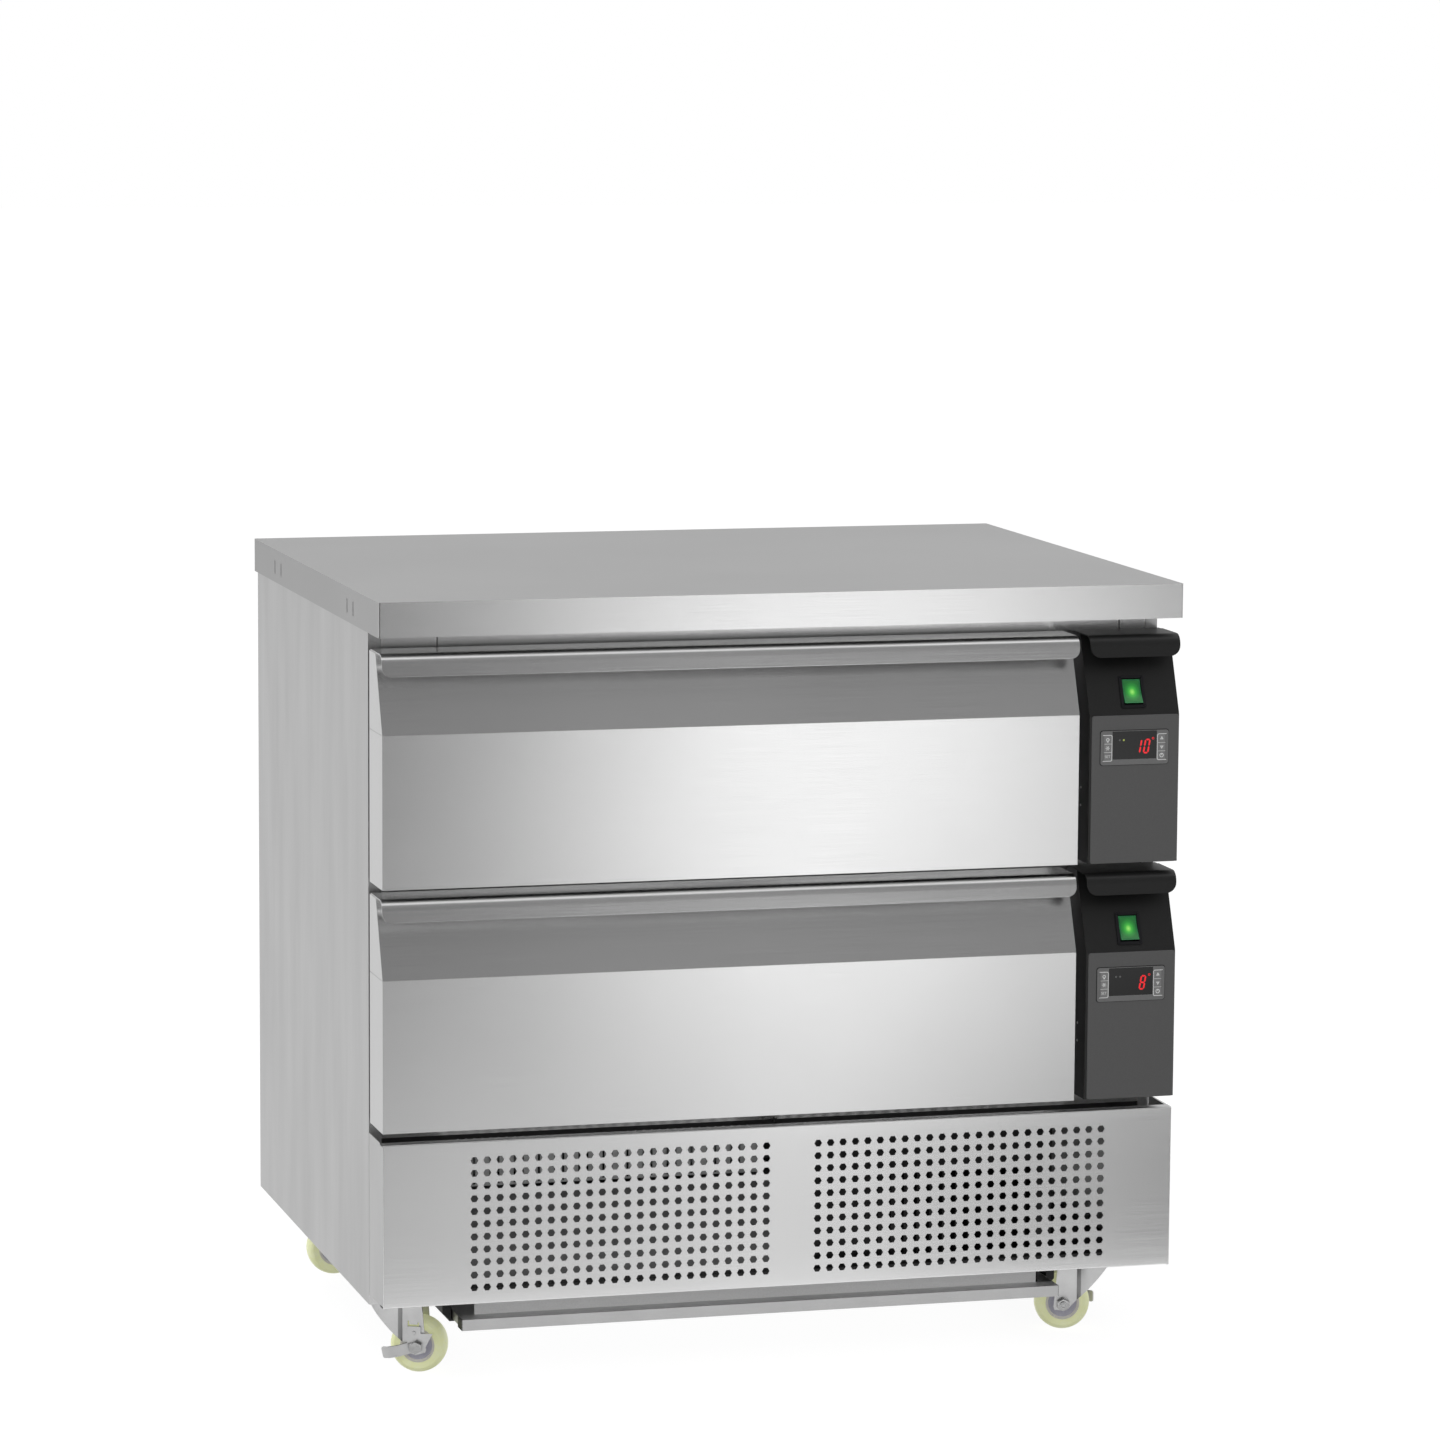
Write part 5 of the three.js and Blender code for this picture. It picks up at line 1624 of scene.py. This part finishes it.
def castor_brake(corner):
    """Brake lever of a front castor, at the angle it stands at."""
    plate = brake_plate()
    start_x, start_y = PEDAL_PATH[0]
    low = (start_x - EDGE_ROUND, start_y, WHEEL_RADIUS - PEDAL_HALF)
    pedal = sheet_face("pedal", low, (start_x, start_y, WHEEL_RADIUS + PEDAL_HALF), "y")
    move(pedal, "VERT", at("x", low[0]), PEDAL_PATH[1][0] - low[0], 0, 0)
    for (x0, y0), (x1, y1) in zip(PEDAL_PATH[1:], PEDAL_PATH[2:]):
        extrude(pedal, "EDGE", at("x", x0), x1 - x0, y1 - y0, 0)
    pick(pedal, "VERT", at("x", PEDAL_PATH[-1][0]))
    bpy.ops.mesh.bevel(offset=PEDAL_ROUND, segments=4, affect="VERTICES")
    done()
    thicken(pedal, -BRAKE_SHEET)
    axle = Vector((TRAIL, 0, WHEEL_RADIUS))
    turned_about(pedal, axle, -PEDAL_DROOP)
    soften(plate, FORK_ROUND, 3)
    soften(pedal, FORK_ROUND, 3)
    piece = join(f"{corner}_castor_pedal", [plate, pedal])
    placed(turned_about(piece, axle, BRAKE_LIFTS[corner]), corner)
    settle(piece, f"{corner}_castor_brake", zinc, "stainless", f"{corner}_castor_brake")


def softened(node, name, body, material, slot, width=EDGE_ROUND, segments=1):
    """A CAD node with softened edges and its finish."""
    piece = node_copy(node, name)
    soften(piece, width, segments)
    return settle(piece, body, material, slot, node)


# Machine space: what shows through the grille and under it
BAFFLE_Y = -0.262
BAFFLE_X = (-0.344, 0.045)
BAFFLE_Z = (0.0965, 0.2)
BAFFLE_FOLD = 0.006
BLIND_Y = -0.2435
BLIND_X = (0.0455, 0.345)
BLIND_Z = (0.0965, 0.278)
BLIND_MARGIN = 0.004
CROSS_LOW = (-0.33, -0.2545, 0.064)
CROSS_HIGH = (0.33, -0.2485, 0.0935)
RAIL_DEPTH = 0.021
RAIL_TOP = 0.0695
RAIL_CAP = 0.0008


def machine_baffle():
    """Sheet between the compressor and the grille's left field, folded forward along its top."""
    low = (BAFFLE_X[0], BAFFLE_Y, BAFFLE_Z[0])
    piece = sheet_face("machine_baffle", low, (BAFFLE_X[1], BAFFLE_Y, BAFFLE_Z[1]), "y")
    pick(piece, "EDGE", at("z", BAFFLE_Z[1]))
    pull(0, -BAFFLE_FOLD, 0)
    pull(0, 0, BAFFLE_FOLD)
    done()
    thicken(piece)
    soften(piece)
    # Its dark grey is painted shade.
    settle(piece, "root", baffle_metal, "galvanised")


def condenser_blind():
    """Black sheet round the front of the condenser, so that air passes only through its fins."""
    low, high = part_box("condenser")
    corners = ((BLIND_X[0], BLIND_Y, BLIND_Z[0]), (BLIND_X[1], BLIND_Y, BLIND_Z[1]))
    piece = sheet_face("condenser_blind", *corners, "y")
    thicken(piece)
    window = block(
        "window",
        (low.x + BLIND_MARGIN, BLIND_Y - OVERRUN, BLIND_Z[0] + BLIND_MARGIN),
        (high.x - BLIND_MARGIN, BLIND_Y + OVERRUN, high.z - BLIND_MARGIN),
    )
    cut(piece, window)
    soften(piece)
    settle(piece, "root", black_metal, "black_metal")


def chassis():
    """Base frame in painted shade but for its cross plate under the grille, pale and glowing as painted
    light; and the pale tray, its top faces paler as painted light.
    """
    piece = softened("chassis", "base_frame", "root", painted_shade, "galvanised")

    def on_cross(face):
        centre = face.calc_center_median()
        return all(CROSS_LOW[i] < centre[i] < CROSS_HIGH[i] for i in range(3))

    paint(piece, cross_painted_light, on_cross)
    shelf = softened("compressor_tray", "compressor_shelf", "root", rail_pale, "galvanised")
    paint(shelf, pale_painted_light, lambda face: face.normal.z > FRONT_FACING)


def rail_ends():
    """Caps that close the tray's front rail at both ends, near-black as painted shade in the rail's
    channel.
    """
    low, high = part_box("compressor_tray")
    caps = []
    for start, end in ((low.x, low.x + RAIL_CAP), (high.x - RAIL_CAP, high.x)):
        cap = block("cap", (start, low.y, low.z), (end, low.y + RAIL_DEPTH, RAIL_TOP))
        soften(cap, RAIL_CAP / 4, 1)
        caps.append(cap)
    settle(join("rail_ends", caps), "root", painted_shade, "galvanised")


# Finish of what is carried over as it is: words in a node's name, finish
REST_FINISHES = (
    (("compressor", "condenser"), black_metal),
    (("fan_wheel",), fan_plastic),
    (("core", "insulated_body"), liner),
    (("gasket",), rubber),
    (("runner", "evaporator"), galvanised),
)


def finish_rest():
    """Gives every CAD node that still shows the procedural finish of its slot."""
    for name, node in frame["nodes"].items():
        if node.hide_render:
            continue
        fitting = [finish for words, finish in REST_FINISHES if any(word in name for word in words)]
        node.data.materials.clear()
        node.data.materials.append(fitting[0] if fitting else steel_part)


worktop()
outer_casing()
front_frame()
grille_panel()
for level in LEVELS:
    drawer_front(level)
    drawer_lip(level)
    control_shell(level)
    control_plate(level)
    switch_bezel(level)
    switch_rocker(level)
    controller(level)
    keys(level)
    control_screws(level)
for corner in CASTORS:
    braked = corner.startswith("front")
    castor_plate(corner)
    castor_fork(corner, braked)
    castor_wheel(corner)
    if braked:
        castor_brake(corner)
machine_baffle()
condenser_blind()
chassis()
rail_ends()
finish_rest()


# Camera, at the photograph's angle. Its focal length is in pixels of a picture of this width
SENSOR_WIDTH = 36
PICTURE_PIXELS = 1440
FOCAL_PIXELS = 5671.75
CAMERA_PLACE = (-1.69561, -6.19846, 1.53605)
CAMERA_YAW = 0.2701
CAMERA_PITCH = 0.13141
CAMERA_ROLL = 0.00626


def camera():
    lens_data = bpy.data.cameras.new("camera")
    lens_data.sensor_width = SENSOR_WIDTH
    lens_data.lens = FOCAL_PIXELS / PICTURE_PIXELS * SENSOR_WIDTH
    piece = bpy.data.objects.new("camera", lens_data)
    bpy.context.scene.collection.objects.link(piece)
    ahead = Vector((math.sin(CAMERA_YAW), math.cos(CAMERA_YAW), 0))
    right = Vector((math.cos(CAMERA_YAW), -math.sin(CAMERA_YAW), 0))
    up = Vector((0, 0, 1))
    forward = ahead * math.cos(CAMERA_PITCH) - up * math.sin(CAMERA_PITCH)
    above = up * math.cos(CAMERA_PITCH) + ahead * math.sin(CAMERA_PITCH)
    across = right * math.cos(CAMERA_ROLL) + above * math.sin(CAMERA_ROLL)
    over = above * math.cos(CAMERA_ROLL) - right * math.sin(CAMERA_ROLL)
    turn = Matrix((across, over, -forward)).transposed().to_4x4()
    piece.matrix_world = Matrix.Translation(CAMERA_PLACE) @ turn
    bpy.context.scene.camera = piece


camera()


# Floor and soft studio light. The cards are seen only in reflections, as a light tent's panels are
FLOOR_SIZE = 60
FLOOR_LIT = 0.2
FLOOR_GLOW = 0.92
WORLD_LIGHT = 0.55
CARD_RISE = 0.001
UPRIGHT = (math.pi / 2, 0, 0)
FLAT = (0, 0, 0)

# Name: centre, size, turn, brightness
PLAIN_CARDS = {
    "back_card": ((0, 7, 5.2), (24, 10), UPRIGHT, 0.56),
    "rear_floor_card": ((-2, 6.1, CARD_RISE), (12, 13), FLAT, 0.66),
}
UPPER_CARD_CENTRE = (2, -8, 7.4)
UPPER_CARD_SIZE = (24, 14)
UPPER_CARD_SPAN = (-10, 14)
UPPER_CARD_SHARES = ((0.0, 0.16), (0.45, 0.16), (0.5, 0.3), (0.545, 0.26), (1.0, 0.2))

# Name: place, size of its square, power
LAMP_TARGET = (0, 0, 0.4)
LAMPS = {
    "key_light": ((-1.5, -3.5, 3.5), 2.5, 60),
    "side_light": ((-3.0, 1.0, 2.0), 2.0, 30),
}

# Pool of light on the floor in front: its place, turn and spread, and its brightness from edge to edge
POOL_CENTRE = (0, -8.5, CARD_RISE)
POOL_SIZE = (24, 15.6)
POOL_SLOPE = math.tan(math.radians(15.5))
POOL_START = 0.35
POOL_HALF = 0.45
POOL_SPREAD = 0.075
POOL_SPAN = (-2, 2)
POOL_NEAR_SPAN = (1.5, 2.6)
POOL_FAR_SPAN = (5.0, 6.5)
POOL_NEAR_SHARES = (
    (0.0, 0.35),
    (0.25, 0.54),
    (0.4, 0.64),
    (0.5, 0.74),
    (0.6, 0.56),
    (0.75, 0.3),
    (1.0, 0.2),
)
POOL_MIDDLE_SHARES = (
    (0.0, 0.1),
    (0.2, 0.22),
    (0.27, 0.33),
    (0.39, 0.78),
    (0.5, 1.45),
    (0.58, 1.38),
    (0.66, 1.15),
    (0.75, 0.95),
    (1.0, 0.6),
)
POOL_FAR_SHARES = (
    (0.0, 0.05),
    (0.27, 0.2),
    (0.39, 1.0),
    (0.5, 1.9),
    (0.55, 2.0),
    (0.64, 1.8),
    (0.73, 0.6),
    (0.8, 0.1),
    (1.0, 0.05),
)


def seen_only_in_gloss(piece):
    """Hides a card from the camera, and keeps its light off things but for their reflections."""
    piece.visible_camera = False
    piece.visible_diffuse = False
    piece.visible_shadow = False
    piece.visible_transmission = True


def stage_plane(name, centre, size, turn):
    """A rectangle that belongs to the stage."""
    bpy.ops.object.select_all(action="DESELECT")
    bpy.ops.mesh.primitive_plane_add(size=1, location=centre, rotation=turn)
    piece = bpy.context.object
    piece.name = name
    piece.scale = (*size, 1)
    fix_place(piece)
    return piece


def background_share(tree):
    """1 for rays that the camera, gloss or glass sends, and 0 for the light that falls on things."""
    path = add_node(tree, "ShaderNodeLightPath")
    first = add_node(tree, "ShaderNodeMath", operation="MAXIMUM")
    second = add_node(tree, "ShaderNodeMath", operation="MAXIMUM")
    tree.links.new(path.outputs["Is Camera Ray"], first.inputs[0])
    tree.links.new(path.outputs["Is Glossy Ray"], first.inputs[1])
    tree.links.new(first.outputs[0], second.inputs[0])
    tree.links.new(path.outputs["Is Transmission Ray"], second.inputs[1])
    return second.outputs[0]


def bare_material(piece):
    """A material of a piece's own, with no node but its output."""
    material = bpy.data.materials.new(piece.name)
    material.use_nodes = True
    tree = material.node_tree
    tree.nodes.clear()
    piece.data.materials.append(material)
    return tree, add_node(tree, "ShaderNodeOutputMaterial").inputs["Surface"]


def floor():
    """Pale floor: white to the camera and in reflections, and it keeps the object's shadow."""
    piece = stage_plane("floor", (0, 0, 0), (FLOOR_SIZE, FLOOR_SIZE), FLAT)
    tree, surface = bare_material(piece)
    pale = add_node(tree, "ShaderNodeBsdfDiffuse", Color=(FLOOR_LIT, FLOOR_LIT, FLOOR_LIT, 1))
    glow = add_node(tree, "ShaderNodeEmission")
    added = add_node(tree, "ShaderNodeAddShader")
    strength = add_node(tree, "ShaderNodeMath", operation="MULTIPLY")
    strength.inputs[1].default_value = FLOOR_GLOW
    tree.links.new(background_share(tree), strength.inputs[0])
    tree.links.new(strength.outputs[0], glow.inputs["Strength"])
    tree.links.new(pale.outputs[0], added.inputs[0])
    tree.links.new(glow.outputs[0], added.inputs[1])
    tree.links.new(added.outputs[0], surface)


def card(name, centre, size, turn, radiance):
    """A plain card of one brightness."""
    piece = stage_plane(name, centre, size, turn)
    tree, surface = bare_material(piece)
    glow = add_node(tree, "ShaderNodeEmission", Strength=radiance)
    tree.links.new(glow.outputs[0], surface)
    seen_only_in_gloss(piece)
    return tree, glow


def math_node(tree, operation, first, second):
    """An operation on two terms, each a number or another node's output."""
    node = add_node(tree, "ShaderNodeMath", operation=operation)
    for socket, value in zip(node.inputs, (first, second)):
        if isinstance(value, (int, float)):
            socket.default_value = value
        else:
            tree.links.new(value, socket)
    return node.outputs[0]


def shares_curve(tree, place, shares):
    """A smooth curve through pairs of place and brightness."""
    ramp = colour_ramp(tree, [(position, grey(level / 2)) for position, level in shares])
    ramp.color_ramp.interpolation = "CARDINAL"
    tree.links.new(place, ramp.inputs["Fac"])
    return math_node(tree, "MULTIPLY", ramp.outputs["Color"], 2)


def place_along(tree):
    """Where a point of a card lies, along x, y and z."""
    place = add_node(tree, "ShaderNodeTexCoord")
    split = add_node(tree, "ShaderNodeSeparateXYZ")
    tree.links.new(place.outputs["Object"], split.inputs[0])
    return split.outputs


def mixed_level(tree, factor, first, second):
    """A brightness between two others."""
    mix = add_node(tree, "ShaderNodeMix", data_type="FLOAT")
    tree.links.new(factor, mix.inputs["Factor"])
    tree.links.new(first, mix.inputs[2])
    tree.links.new(second, mix.inputs[3])
    return mix.outputs[0]


def front_pool():
    """Light pool on the floor in front, widening away from the object, as its fronts reflect it."""
    tree, glow = card("front_pool", POOL_CENTRE, POOL_SIZE, FLAT, 1)
    place = place_along(tree)
    away = math_node(tree, "MULTIPLY", math_node(tree, "ADD", place["Y"], POOL_START), -1)
    middle = math_node(tree, "MULTIPLY", away, POOL_SLOPE)
    half = math_node(tree, "ADD", math_node(tree, "MULTIPLY", away, POOL_SPREAD), POOL_HALF)
    across = math_node(tree, "DIVIDE", math_node(tree, "SUBTRACT", place["X"], middle), half)
    share = ramp_between(tree, across, 0, 1, POOL_SPAN)
    level = shares_curve(tree, share, POOL_NEAR_SHARES)
    for span, shares in ((POOL_NEAR_SPAN, POOL_MIDDLE_SHARES), (POOL_FAR_SPAN, POOL_FAR_SHARES)):
        further = ramp_between(tree, away, 0, 1, span)
        level = mixed_level(tree, further, level, shares_curve(tree, share, shares))
    tree.links.new(level, glow.inputs["Strength"])


def front_upper_card():
    """Card high in front, which the sloping fronts reflect, brighter towards its middle."""
    tree, glow = card("front_upper_card", UPPER_CARD_CENTRE, UPPER_CARD_SIZE, UPRIGHT, 1)
    share = ramp_between(tree, place_along(tree)["X"], 0, 1, UPPER_CARD_SPAN)
    tree.links.new(shares_curve(tree, share, UPPER_CARD_SHARES), glow.inputs["Strength"])


def lamp(name, place, size, power):
    """A square lamp that looks at the object and isn't seen in gloss."""
    data = bpy.data.lights.new(name, "AREA")
    data.shape = "RECTANGLE"
    data.size = size
    data.size_y = size
    data.energy = power
    piece = bpy.data.objects.new(name, data)
    bpy.context.scene.collection.objects.link(piece)
    piece.location = place
    piece.rotation_euler = (Vector(LAMP_TARGET) - Vector(place)).to_track_quat("-Z", "Y").to_euler()
    piece.visible_glossy = False


def world():
    """White to the camera and in reflections, softer as the light that falls on things."""
    background = bpy.data.worlds.new("studio")
    bpy.context.scene.world = background
    background.use_nodes = True
    tree = background.node_tree
    shade = tree.nodes["Background"]
    shade.inputs["Color"].default_value = (1, 1, 1, 1)
    tree.links.new(ramp_between(tree, background_share(tree), WORLD_LIGHT, 1), shade.inputs["Strength"])


floor()
front_pool()
front_upper_card()
for name, values in PLAIN_CARDS.items():
    card(name, *values)
for name, values in LAMPS.items():
    lamp(name, *values)
world()
bpy.context.scene.view_settings.view_transform = "Standard"
